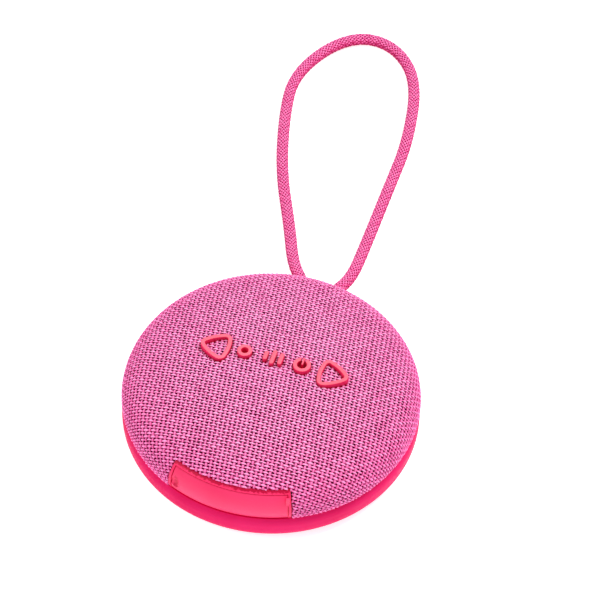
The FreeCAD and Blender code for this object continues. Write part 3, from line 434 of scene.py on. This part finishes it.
def lay_thread(soup, is_warp, index, steps, sink):
    """One thread that goes over and under, sunk below the skin by the weave's depth and by its own dips."""
    flat = flat_of(is_warp, index, steps)
    wave = WARP_WAVE if is_warp else -WEFT_WAVE
    half_width, half_thick = WARP_HALF if is_warp else WEFT_HALF
    rise = wave * np.cos(math.pi * (steps + index)) * (1 + UNEVEN_RISE * uneven(is_warp, index, steps, 1))
    lift = rise - WEAVE_DEPTH - sink(flat)
    pitch = WARP_PITCH if is_warp else WEFT_PITCH
    across = ACROSS[0] if is_warp else ACROSS[1]
    flat = flat + across * (pitch * UNEVEN_PLACE * uneven(is_warp, index, steps, 2))[:, None]
    centre, normal = on_skin(flat, lift)
    ahead = unit(np.gradient(centre, axis=0))
    side = unit(np.cross(normal, ahead))
    up = np.cross(ahead, side)
    swing = np.clip(uneven(is_warp, index, steps, 3), *UNEVEN_WIDTH_LIMITS)
    width = half_width * (1 + UNEVEN_WIDTH * swing)
    thread(soup, centre, side, up, rise, width, half_thick, THREAD_SIDES)


def weave(name, is_warp, indices, field, sink, body, limit):
    """One set of parallel threads as a piece; the limit is how many crossings out they are looked for."""
    soup = Soup()
    for index in indices:
        for steps in kept_runs(is_warp, index, field, limit):
            lay_thread(soup, is_warp, index, steps, sink)
    return add_piece(name, soup.mesh(name), body)


def make_cover():
    """The woven cover, in bands of threads that stay small enough to handle."""
    warps = math.ceil(WEAVE_END / WARP_PITCH) + SPARE_WARPS
    wefts = math.ceil(WEAVE_END / WEFT_PITCH) + SPARE_WEFTS
    bands = []
    for side, span in (("left", range(-warps, 0)), ("right", range(0, warps + 1))):
        bands.append(weave("cover_warp_" + side, True, span, cover_field, dent, BODY, wefts))
    for side, span in (("front", range(-wefts, 0)), ("back", range(0, wefts + 1))):
        bands.append(weave("cover_weft_" + side, False, span, cover_field, dent, BODY, warps))
    return bands


def make_inlay(name, pointing, body):
    """The woven patch inside a triangle button."""
    middle = np.linalg.inv(FROM_GRID) @ np.array([TRIANGLE_X[pointing], BUTTON_ROW_Y])
    field = inlay_field(pointing)
    pieces = []
    for kind, is_warp, centre in (("warp", True, middle[0]), ("weft", False, middle[1])):
        span = range(int(centre) - INLAY_SPAN, int(centre) + INLAY_SPAN + 1)
        pieces.append(weave(name + "_" + kind, is_warp, span, field, inlay_dent, body, INLAY_LIMIT))
    return pieces


def make_inlay_lining(name, pointing, body):
    """Thin dark plate under the woven patch of a triangle button."""
    turns = 2 * math.pi * np.arange(PLATE_AROUND) / PLATE_AROUND
    rays = np.stack([np.cos(turns), np.sin(turns)], -1)
    centre = np.array([TRIANGLE_X[pointing], BUTTON_ROW_Y])
    low, high = np.zeros(PLATE_AROUND), np.full(PLATE_AROUND, PLATE_SEARCH)
    for _ in range(PLATE_HALVINGS):
        middle = (low + high) / 2
        inside = to_triangle(centre + rays * middle[:, None], pointing) + STROKE + THREAD_CLEAR < 0
        low, high = np.where(inside, middle, low), np.where(inside, high, middle)
    edge = centre + rays * low[:, None]
    dome = SPHERE_Z + np.sqrt(DOME_RADIUS ** 2 - (edge ** 2).sum(axis=1)) - BACKING_DEPTH
    count = PLATE_AROUND
    points = [(*p, z) for p, z in zip(edge, dome)] + [(*p, z - BACKING_THICK) for p, z in zip(edge, dome)]
    faces = [tuple(range(count)), tuple(range(2 * count - 1, count - 1, -1))]
    faces += [(k, count + k, count + (k + 1) % count, (k + 1) % count) for k in range(count)]
    mesh = bpy.data.meshes.new(name)
    mesh.from_pydata(points, [], faces)
    mesh.update()
    return add_piece(name, mesh, body)


def make_backing():
    """Dark lining close under the threads."""
    rings, around = BACKING_RINGS, BACKING_AROUND
    reach = np.linspace(0, WEAVE_END, rings + 1)[1:]
    turn = 2 * math.pi * np.arange(around) / around
    grid_reach, grid_turn = np.meshgrid(reach, turn, indexing="ij")
    flat = np.stack([grid_reach * np.cos(grid_turn), grid_reach * np.sin(grid_turn)], -1).reshape(-1, 2)
    flat = np.concatenate([[[0.0, 0.0]], flat])
    points, _ = on_skin(flat, -BACKING_DEPTH - dent(flat))
    keep = np.minimum(to_window(flat), to_buttons(floor_plan(flat)) - THREAD_CLEAR) > 0
    faces = []
    for k in range(around):
        faces.append((0, 1 + k, 1 + (k + 1) % around))
    for i in range(rings - 1):
        for k in range(around):
            a = 1 + i * around + k
            b = 1 + i * around + (k + 1) % around
            faces.append((a, a + around, b + around, b))
    faces = [f for f in faces if all(keep[v] for v in f)]
    used = sorted({v for f in faces for v in f})
    place = {v: n for n, v in enumerate(used)}
    mesh = bpy.data.meshes.new("cover_backing")
    mesh.from_pydata([tuple(points[v]) for v in used], [], [[place[v] for v in f] for f in faces])
    mesh.polygons.foreach_set("use_smooth", [True] * len(faces))
    mesh.update()
    piece = add_piece("cover_backing", mesh, BODY)
    thick = piece.modifiers.new("thickness", "SOLIDIFY")
    thick.thickness = BACKING_THICK
    thick.offset = -1
    return piece


# ---- materials ----

class Nodes:
    """Short-hand for building one material's node tree."""

    def __init__(self, name):
        self.material = bpy.data.materials.new(name)
        self.material.use_nodes = True
        self.tree = self.material.node_tree
        self.shader = self.tree.nodes["Principled BSDF"]

    def node(self, kind, **settings):
        made = self.tree.nodes.new(kind)
        for key, value in settings.items():
            setattr(made, key, value)
        return made

    def link(self, source, target):
        self.tree.links.new(source, target)

    def set(self, **values):
        for key, value in values.items():
            self.shader.inputs[key.replace("_", " ")].default_value = value

    def place(self):
        """Object coordinates in millimetres."""
        coordinates = self.node("ShaderNodeTexCoord")
        mapping = self.node("ShaderNodeMapping")
        mapping.inputs["Scale"].default_value = (1 / MM, 1 / MM, 1 / MM)
        self.link(coordinates.outputs["Object"], mapping.inputs["Vector"])
        return mapping.outputs["Vector"]

    def noise(self, vector, scale, detail=3.0, rough=0.5):
        made = self.node("ShaderNodeTexNoise")
        made.inputs["Scale"].default_value = scale
        made.inputs["Detail"].default_value = detail
        made.inputs["Roughness"].default_value = rough
        self.link(vector, made.inputs["Vector"])
        return made.outputs["Fac"]

    def ramp(self, factor, stops):
        made = self.node("ShaderNodeValToRGB")
        while len(made.color_ramp.elements) < len(stops):
            made.color_ramp.elements.new(0.5)
        for element, (at, colour) in zip(made.color_ramp.elements, stops):
            element.position = at
            element.color = (*colour, 1.0)
        self.link(factor, made.inputs["Fac"])
        return made.outputs["Color"]

    def add(self, one, other):
        made = self.node("ShaderNodeMath", operation="ADD")
        self.link(one, made.inputs[0])
        self.link(other, made.inputs[1])
        return made.outputs[0]

    def facing_up(self):
        """How far the surface faces upwards: 1 for level, 0 for upright."""
        facing = self.node("ShaderNodeSeparateXYZ")
        self.link(self.node("ShaderNodeNewGeometry").outputs["Normal"], facing.inputs[0])
        return facing.outputs["Z"]

    def spread(self, factor, low, high, to_low, to_high):
        """Maps a factor from one range to another and stops at its ends."""
        made = self.node("ShaderNodeMapRange")
        for key, value in zip(("From Min", "From Max", "To Min", "To Max"), (low, high, to_low, to_high)):
            made.inputs[key].default_value = value
        self.link(factor, made.inputs["Value"])
        return made.outputs["Result"]

    def mix(self, share, base, over, blend="MIX"):
        """Lays a colour over another by a share; either may be a socket or a colour."""
        made = self.node("ShaderNodeMix", data_type="RGBA", blend_type=blend)
        self.link(share, made.inputs["Factor"])
        sockets = [socket for socket in made.inputs if socket.type == "RGBA"]
        for socket, colour in zip(sockets, (base, over)):
            if isinstance(colour, tuple):
                socket.default_value = (*colour, 1.0)
            else:
                self.link(colour, socket)
        return next(socket for socket in made.outputs if socket.type == "RGBA")

    def bump(self, height, strength, distance):
        made = self.node("ShaderNodeBump")
        made.inputs["Strength"].default_value = strength
        made.inputs["Distance"].default_value = distance
        self.link(height, made.inputs["Height"])
        self.link(made.outputs["Normal"], self.shader.inputs["Normal"])


def yarn_material(name, shade_colour, dark, light, reach=0.34, twist=7.0, rim=(1.0, 1.0, 1.0), flank_shade=0.0):
    """Spun yarn with painted shade down in the weave and on its flanks, lighter on its crowns, painted shade
    and painted reflected red from the bumper towards the rim, and fine fibres.
    """
    m = Nodes(name)
    # Painted shade: yarn low in the weave takes the shade colour and is lighter on the crowns; the patches
    # are random tone.
    relief = m.node("ShaderNodeAttribute", attribute_name="relief")
    up = m.spread(relief.outputs["Fac"], -reach, reach, 0.0, 1.0)
    patches = m.spread(m.noise(m.place(), 0.35, 3.0), 0.3, 0.7, -0.07, 0.07)
    total = m.add(up, patches)
    # Painted shade on the flanks, where the yarn faces sideways.
    if flank_shade:
        total = m.add(total, m.spread(m.facing_up(), 0.1, 0.85, -flank_shade, 0.0))
    colour = m.ramp(total, ((0.1, shade_colour), (0.5, dark), (0.9, light)))
    # Painted shade and painted reflected red from the bumper, growing towards the rim.
    height = m.node("ShaderNodeSeparateXYZ")
    m.link(m.place(), height.inputs[0])
    down = m.spread(height.outputs["Z"], *RIM_BOUNCE_HEIGHTS, 0.0, 1.0)
    m.link(m.mix(down, colour, rim, "MULTIPLY"), m.shader.inputs["Base Color"])
    uv = m.node("ShaderNodeUVMap", uv_map="along")
    mapping = m.node("ShaderNodeMapping")
    mapping.inputs["Scale"].default_value = (twist, 12.0, 1.0)
    mapping.inputs["Rotation"].default_value = (0, 0, math.radians(24))
    m.link(uv.outputs["UV"], mapping.inputs["Vector"])
    fibres = m.noise(mapping.outputs["Vector"], 1.0, 2.0)
    m.bump(fibres, 0.35, 0.05 * MM)
    m.link(m.spread(fibres, 0.2, 0.8, 0.85, 0.62), m.shader.inputs["Roughness"])
    m.set(Sheen_Weight=0.05, Sheen_Roughness=0.4, Sheen_Tint=(1.0, 0.72, 0.88, 1.0), Specular_IOR_Level=0.1)
    return m.material


def rubber_material(name, shade_colour, dark, light, gloss=0.2, glow=0.0, painted_shade=None, side=None):
    """Moulded silicone with painted shade in its creases from ambient occlusion, a faint painted glow, slow
    random changes of tone and a fine grain.

    It may have light spread inside it, a painted shade mark, and painted shade on its steep sides."""
    m = Nodes(name)
    place = m.place()
    shade_of = m.ramp(m.noise(place, 0.06, 2.0), ((0.35, dark), (0.65, light)))
    # Painted shade: ambient occlusion turns creases, gaps and the feet of walls towards the shade colour.
    crease = m.node("ShaderNodeAmbientOcclusion", samples=8)
    crease.inputs["Distance"].default_value = CREASE_SHADE_DISTANCE
    lit_share = m.spread(crease.outputs["AO"], 0.25, 0.8, 0.0, 1.0)
    # Painted shade on steep sides: where the surface faces sideways it turns to the side colour.
    if side:
        shade_of = m.mix(m.spread(m.facing_up(), 0.1, 0.9, 0.0, 1.0), side, shade_of)
    colour = m.mix(lit_share, shade_colour, shade_of)
    # A painted shade mark, darkest near its middle: painted shade in a recess or a painted shadow under an
    # edge.
    if painted_shade:
        middle, shape, reach = painted_shade
        offset = m.node("ShaderNodeVectorMath", operation="SUBTRACT")
        m.link(place, offset.inputs[0])
        offset.inputs[1].default_value = middle
        squeezed = m.node("ShaderNodeVectorMath", operation="MULTIPLY")
        m.link(offset.outputs[0], squeezed.inputs[0])
        squeezed.inputs[1].default_value = shape
        apart = m.node("ShaderNodeVectorMath", operation="LENGTH")
        m.link(squeezed.outputs[0], apart.inputs[0])
        near = m.add(apart.outputs["Value"], m.spread(m.noise(place, 1.2, 2.0), 0.3, 0.7, -0.25, 0.25))
        colour = m.mix(m.spread(near, *reach, 1.0, 0.0), colour, PAINTED_SHADE_COLOUR)
    m.link(colour, m.shader.inputs["Base Color"])
    m.bump(m.noise(place, 7.0, 3.0, 0.6), 0.25, 0.02 * MM)
    m.link(m.spread(m.noise(place, 0.6, 3.0), 0.3, 0.7, 0.38, 0.5), m.shader.inputs["Roughness"])
    # Painted glow: the rubber glows faintly in its shade colour, standing in for light that seeps through
    # it.
    m.set(Specular_IOR_Level=gloss, Emission_Color=(*shade_colour, 1.0), Emission_Strength=PAINTED_GLOW)
    if glow:
        m.set(Subsurface_Weight=glow, Subsurface_Radius=(1.0, 0.25, 0.35), Subsurface_Scale=1.2 * MM)
    return m.material


def lining_material(name, dark, light):
    """Dull backing that shows between threads."""
    m = Nodes(name)
    place = m.place()
    m.link(m.ramp(m.noise(place, 0.25, 3.0), ((0.3, dark), (0.7, light))), m.shader.inputs["Base Color"])
    m.bump(m.noise(place, 5.0, 4.0), 0.6, 0.08 * MM)
    m.link(m.spread(m.noise(place, 3.0, 2.0), 0.3, 0.7, 0.8, 0.95), m.shader.inputs["Roughness"])
    m.set(Specular_IOR_Level=0.02)
    return m.material


def plain_material(name, dark, light, rough, metal):
    """Moulded, cast or pressed stuff inside the body."""
    m = Nodes(name)
    place = m.place()
    m.link(m.ramp(m.noise(place, 0.4, 3.0), ((0.3, dark), (0.7, light))), m.shader.inputs["Base Color"])
    m.bump(m.noise(place, 5.0, 3.0), 0.2, 0.02 * MM)
    worn = m.spread(m.noise(place, 1.5, 3.0), 0.3, 0.7, rough * 0.85, min(1.0, rough * 1.15))
    m.link(worn, m.shader.inputs["Roughness"])
    m.set(Metallic=metal)
    return m.material


def shade(colour, factor):
    return tuple(min(1.0, c * factor) for c in colour)


# Colour, roughness and metal share of each material slot that needs no material of its own
FINISHES = {
    "pad_rubber": ((0.55, 0.01, 0.10), 0.6, 0.0),
    "housing_plastic": ((0.60, 0.02, 0.14), 0.45, 0.0),
    "seal_rubber": ((0.03, 0.03, 0.03), 0.6, 0.0),
    "screw_steel": ((0.55, 0.55, 0.57), 0.3, 1.0),
    "frame_plastic": ((0.30, 0.004, 0.05), 0.6, 0.0),
    "basket_metal": ((0.05, 0.05, 0.055), 0.4, 0.0),
    "yoke_steel": ((0.5, 0.5, 0.52), 0.35, 1.0),
    "magnet_metal": ((0.35, 0.35, 0.37), 0.3, 1.0),
    "foam_pad": ((0.02, 0.02, 0.02), 0.9, 0.0),
    "coil_copper": ((0.75, 0.33, 0.14), 0.35, 1.0),
    "cone_paper": ((0.03, 0.03, 0.032), 0.75, 0.0),
    "roll_rubber": ((0.02, 0.02, 0.02), 0.5, 0.0),
    "spider_cloth": ((0.55, 0.35, 0.12), 0.85, 0.0),
    "circuit_board": ((0.01, 0.13, 0.05), 0.35, 0.0),
    "chip_plastic": ((0.02, 0.02, 0.022), 0.5, 0.0),
    "socket_metal": ((0.6, 0.6, 0.62), 0.3, 1.0),
    "battery_foil": ((0.55, 0.56, 0.6), 0.35, 1.0),
    "flex_film": ((0.45, 0.22, 0.03), 0.3, 0.0),
    "wire_jacket": ((0.35, 0.01, 0.015), 0.45, 0.0),
    "dome_rubber": ((0.65, 0.6, 0.6), 0.5, 0.0),
}


def paint(piece, material):
    piece.data.materials.clear()
    piece.data.materials.append(material)


def paint_cad_nodes(special):
    """Gives every CAD node the material of its slot: a special one where there is one, or a plain finish."""
    made = {slot: plain_material(slot, shade(colour, 0.85), shade(colour, 1.1), rough, metal)
            for slot, (colour, rough, metal) in FINISHES.items()}
    made.update(special)
    for part in frame["record"]["subparts"]:
        paint(frame["nodes"][part["node"]], made[part["material_slot"]])


# ---- cord ----

def make_cord():
    """The cord's core, and its middle line for the braid, taken before the core has any thickness."""
    curve = bpy.data.curves.new("loop_cord", "CURVE")
    curve.dimensions = "3D"
    curve.resolution_u = 24
    spline = curve.splines.new("NURBS")
    spline.points.add(len(CORD_ROUTE) - 1)
    for point, place in zip(spline.points, CORD_ROUTE):
        point.co = (*place, 1.0)
        point.radius = MM
    spline.order_u = 3
    spline.use_endpoint_u = True
    core = link_object("loop_cord", curve)
    bpy.context.view_layer.update()
    line = bpy.data.meshes.new_from_object(core)
    path = np.array([v.co for v in line.vertices], float)
    bpy.data.meshes.remove(line)
    curve.bevel_depth = CORD_CORE / MM
    curve.bevel_resolution = 4
    curve.use_fill_caps = True
    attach(core, BODY)
    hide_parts("hanging_loop")
    return core, path


def carried_frame(path):
    """Two directions square to a path, carried along it without twist."""
    ahead = unit(np.gradient(path, axis=0))
    side = np.zeros_like(path)
    side[0] = unit(np.cross(ahead[0], [0, 0, 1.0]))
    for k in range(1, len(path)):
        moved = side[k - 1] - ahead[k] * (side[k - 1] @ ahead[k])
        side[k] = moved / np.linalg.norm(moved)
    return side, np.cross(ahead, side)


def make_braid(path):
    """The cord's braided jacket: two sets of flat strands that wind opposite ways over and under."""
    along = np.concatenate([[0], np.cumsum(np.linalg.norm(np.diff(path, axis=0), axis=1))])
    crossings = round(along[-1] * math.tan(BRAID_ANGLE) * CARRIERS / (math.pi * BRAID_RADIUS))
    lead = along[-1] * 2 * CARRIERS / crossings
    at = np.linspace(0, along[-1], 2 * crossings + 1)
    line = np.stack([np.interp(at, along, path[:, k]) for k in range(3)], -1)
    side, up = carried_frame(line)
    pieces = []
    for name, way in (("loop_braid_a", 1), ("loop_braid_b", -1)):
        soup = Soup()
        for k in range(CARRIERS):
            turn = way * 2 * math.pi * (at / lead) + 2 * math.pi * k / CARRIERS
            out = np.cos(turn)[:, None] * side + np.sin(turn)[:, None] * up
            rise = BRAID_WAVE * (np.cos(math.pi * (2 * CARRIERS * at / lead + k)) * way)
            centre = line + out * (BRAID_RADIUS + rise)[:, None]
            run = unit(np.gradient(centre, axis=0))
            across = unit(np.cross(out, run))
            thread(soup, centre, across, np.cross(run, across), rise, *STRAND_HALF, STRAND_SIDES)
        piece = add_piece(name, soup.mesh(name), BODY)
        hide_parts("hanging_loop")
        pieces.append(piece)
    return pieces


# ---- flap hinge ----

def at_angle(angle, radius, height):
    return (radius * math.sin(angle), -radius * math.cos(angle), height)


def make_hinge_web():
    """Thin strip of rubber that joins the flap to its surround, down the flap's outer end."""
    columns = WEB_COLUMNS
    angles = np.linspace(*WEB_ANGLES, columns)
    heights = np.linspace(*WEB_HEIGHTS, WEB_STEPS)
    inner, outer = WEB_RADII
    points = [at_angle(a, r, z) for r in (outer, inner) for z in heights for a in angles]
    sheet = WEB_STEPS * columns
    faces = []
    for i in range(WEB_STEPS - 1):
        for k in range(columns - 1):
            a = i * columns + k
            faces.append((a, a + 1, a + columns + 1, a + columns))
            faces.append((sheet + a, sheet + a + columns, sheet + a + columns + 1, sheet + a + 1))
    for k in range(columns - 1):
        faces.append((k, sheet + k, sheet + k + 1, k + 1))
        top = (WEB_STEPS - 1) * columns + k
        faces.append((top, top + 1, sheet + top + 1, sheet + top))
    for i in range(WEB_STEPS - 1):
        low = i * columns
        high = low + columns
        faces.append((low, high, sheet + high, sheet + low))
        faces.append((low + columns - 1, sheet + low + columns - 1, sheet + high + columns - 1,
                      high + columns - 1))
    mesh = bpy.data.meshes.new("hinge_web")
    mesh.from_pydata(points, [], faces)
    mesh.update()
    web = add_piece("hinge_web", mesh, None)
    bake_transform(web)
    return web


# ---- stage ----

def make_floor():
    mesh = bpy.data.meshes.new("floor")
    half = FLOOR_HALF
    mesh.from_pydata([(-half, -half, 0), (half, -half, 0), (half, half, 0), (-half, half, 0)], [],
                     [(0, 1, 2, 3)])
    floor = link_object("floor", mesh)
    floor.location.z = -FLOOR_DROP
    m = Nodes("floor_white")
    m.set(Base_Color=(0.9, 0.9, 0.9, 1.0), Roughness=0.9, Specular_IOR_Level=0.1,
          Emission_Color=(1.0, 1.0, 1.0, 1.0), Emission_Strength=FLOOR_GLOW)
    paint(floor, m.material)


def area_light(name, place, target, size, power):
    light = bpy.data.lights.new(name, "AREA")
    light.shape = "DISK"
    light.size = size
    light.energy = power
    lamp = link_object(name, light)
    lamp.location = place
    lamp.rotation_euler = (Vector(target) - Vector(place)).to_track_quat("-Z", "Y").to_euler()


def make_lights():
    world = bpy.data.worlds.new("studio")
    world.use_nodes = True
    sky = world.node_tree.nodes["Background"]
    sky.inputs["Color"].default_value = (1.0, 1.0, 1.0, 1.0)
    sky.inputs["Strength"].default_value = SKY_STRENGTH
    bpy.context.scene.world = world
    area_light("key", place=(0.35, 0.32, 0.85), target=(0, 0.02, 0), size=0.4, power=8.0)
    area_light("fill", place=(-0.6, -0.35, 0.7), target=(0, 0, 0.01), size=0.6, power=3.0)


def make_camera():
    tilt, turn = CAMERA_ELEVATION, CAMERA_AZIMUTH
    back = Vector((math.cos(tilt) * math.sin(turn), -math.cos(tilt) * math.cos(turn), math.sin(tilt)))
    right = Vector((math.cos(turn), math.sin(turn), 0))
    up = back.cross(right)
    camera = link_object("camera", bpy.data.cameras.new("camera"))
    camera.data.lens = CAMERA_LENS
    camera.data.clip_start = CAMERA_CLIP
    camera.location = BODY_MIDDLE + back * CAMERA_DISTANCE
    target = BODY_MIDDLE + right * FRAMING_RIGHT + up * FRAMING_UP
    aim = (target - camera.location).to_track_quat("-Z", "Y")
    camera.rotation_euler = (aim @ Quaternion((0, 0, 1), CAMERA_ROLL)).to_euler()
    bpy.context.scene.camera = camera


# ---- scene ----

bpy.context.scene.view_settings.view_transform = "Standard"
make_camera()
make_floor()
make_lights()

# Yarn colours: the first is painted shade low in the weave, the last is lighter on the crowns.
yarn_warp = yarn_material("yarn_warp", (0.38, 0.0, 0.08), (0.66, 0.05, 0.25), (0.88, 0.26, 0.54),
                          rim=RIM_BOUNCE_TINT)
yarn_weft = yarn_material("yarn_weft", (0.42, 0.0, 0.10), (0.86, 0.13, 0.40), (1.0, 0.44, 0.74),
                          rim=RIM_BOUNCE_TINT)
lining = lining_material("lining", (0.14, 0.0, 0.04), (0.20, 0.0, 0.055))
cord_lining = lining_material("cord_lining", (0.22, 0.0, 0.035), (0.34, 0.002, 0.06))
# The cord's yarn gets painted shade on its flanks.
cord_yarn = yarn_material("cord_yarn", (0.40, 0.0, 0.07), (0.79, 0.07, 0.28), (0.96, 0.24, 0.51),
                          reach=0.2, twist=4.0, flank_shade=0.7)
# Rubber: the first colour is painted shade in creases and the glow's colour; the button's side colour is
# painted shade on its steep sides.
button_rubber = rubber_material("button_rubber", (0.38, 0.0, 0.02), (0.96, 0.135, 0.20), (1.0, 0.17, 0.245),
                                side=(0.78, 0.02, 0.12))
bumper_rubber = rubber_material("bumper_rubber", (0.60, 0.0, 0.05), (0.60, 0.008, 0.095),
                                (0.67, 0.014, 0.125), gloss=0.04, glow=0.1)
# Painted shade in the flap's notch.
cover_rubber = rubber_material("cover_rubber", (0.60, 0.0, 0.05), (0.80, 0.033, 0.125), (0.85, 0.043, 0.15),
                               painted_shade=NOTCH_SHADE)
# Painted shadow on the surround under the cover's edge.
surround_rubber = rubber_material("surround_rubber", (0.60, 0.0, 0.05), (0.84, 0.025, 0.12),
                                  (0.88, 0.035, 0.14), painted_shade=BRIM_SHADOW)
grommet_rubber = rubber_material("grommet_rubber", (0.4, 0.0, 0.03), (0.70, 0.01, 0.12), (0.8, 0.015, 0.15))

paint_cad_nodes({
    "button_rubber": button_rubber, "bumper_rubber": bumper_rubber, "cover_rubber": cover_rubber,
    "surround_rubber": surround_rubber, "grommet_rubber": grommet_rubber,
    "woven_fabric": lining, "cord_fabric": cord_lining,
})

core, cord_path = make_cord()
core.data.materials.append(cord_lining)
braids = make_braid(cord_path)
for braid in braids:
    paint(braid, cord_yarn)

bands = make_cover()
for band in bands:
    paint(band, yarn_warp if "warp" in band.name else yarn_weft)
    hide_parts("fabric_cover")
backing = make_backing()
paint(backing, lining)
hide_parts("fabric_cover")
for name, pointing in (("volume_down", -1), ("volume_up", 1)):
    for patch in make_inlay(name + "_inlay", pointing, name + "_key"):
        paint(patch, yarn_warp if "warp" in patch.name else yarn_weft)
    paint(make_inlay_lining(name + "_lining", pointing, name + "_key"), lining)

web = make_hinge_web()
paint(web, cover_rubber)
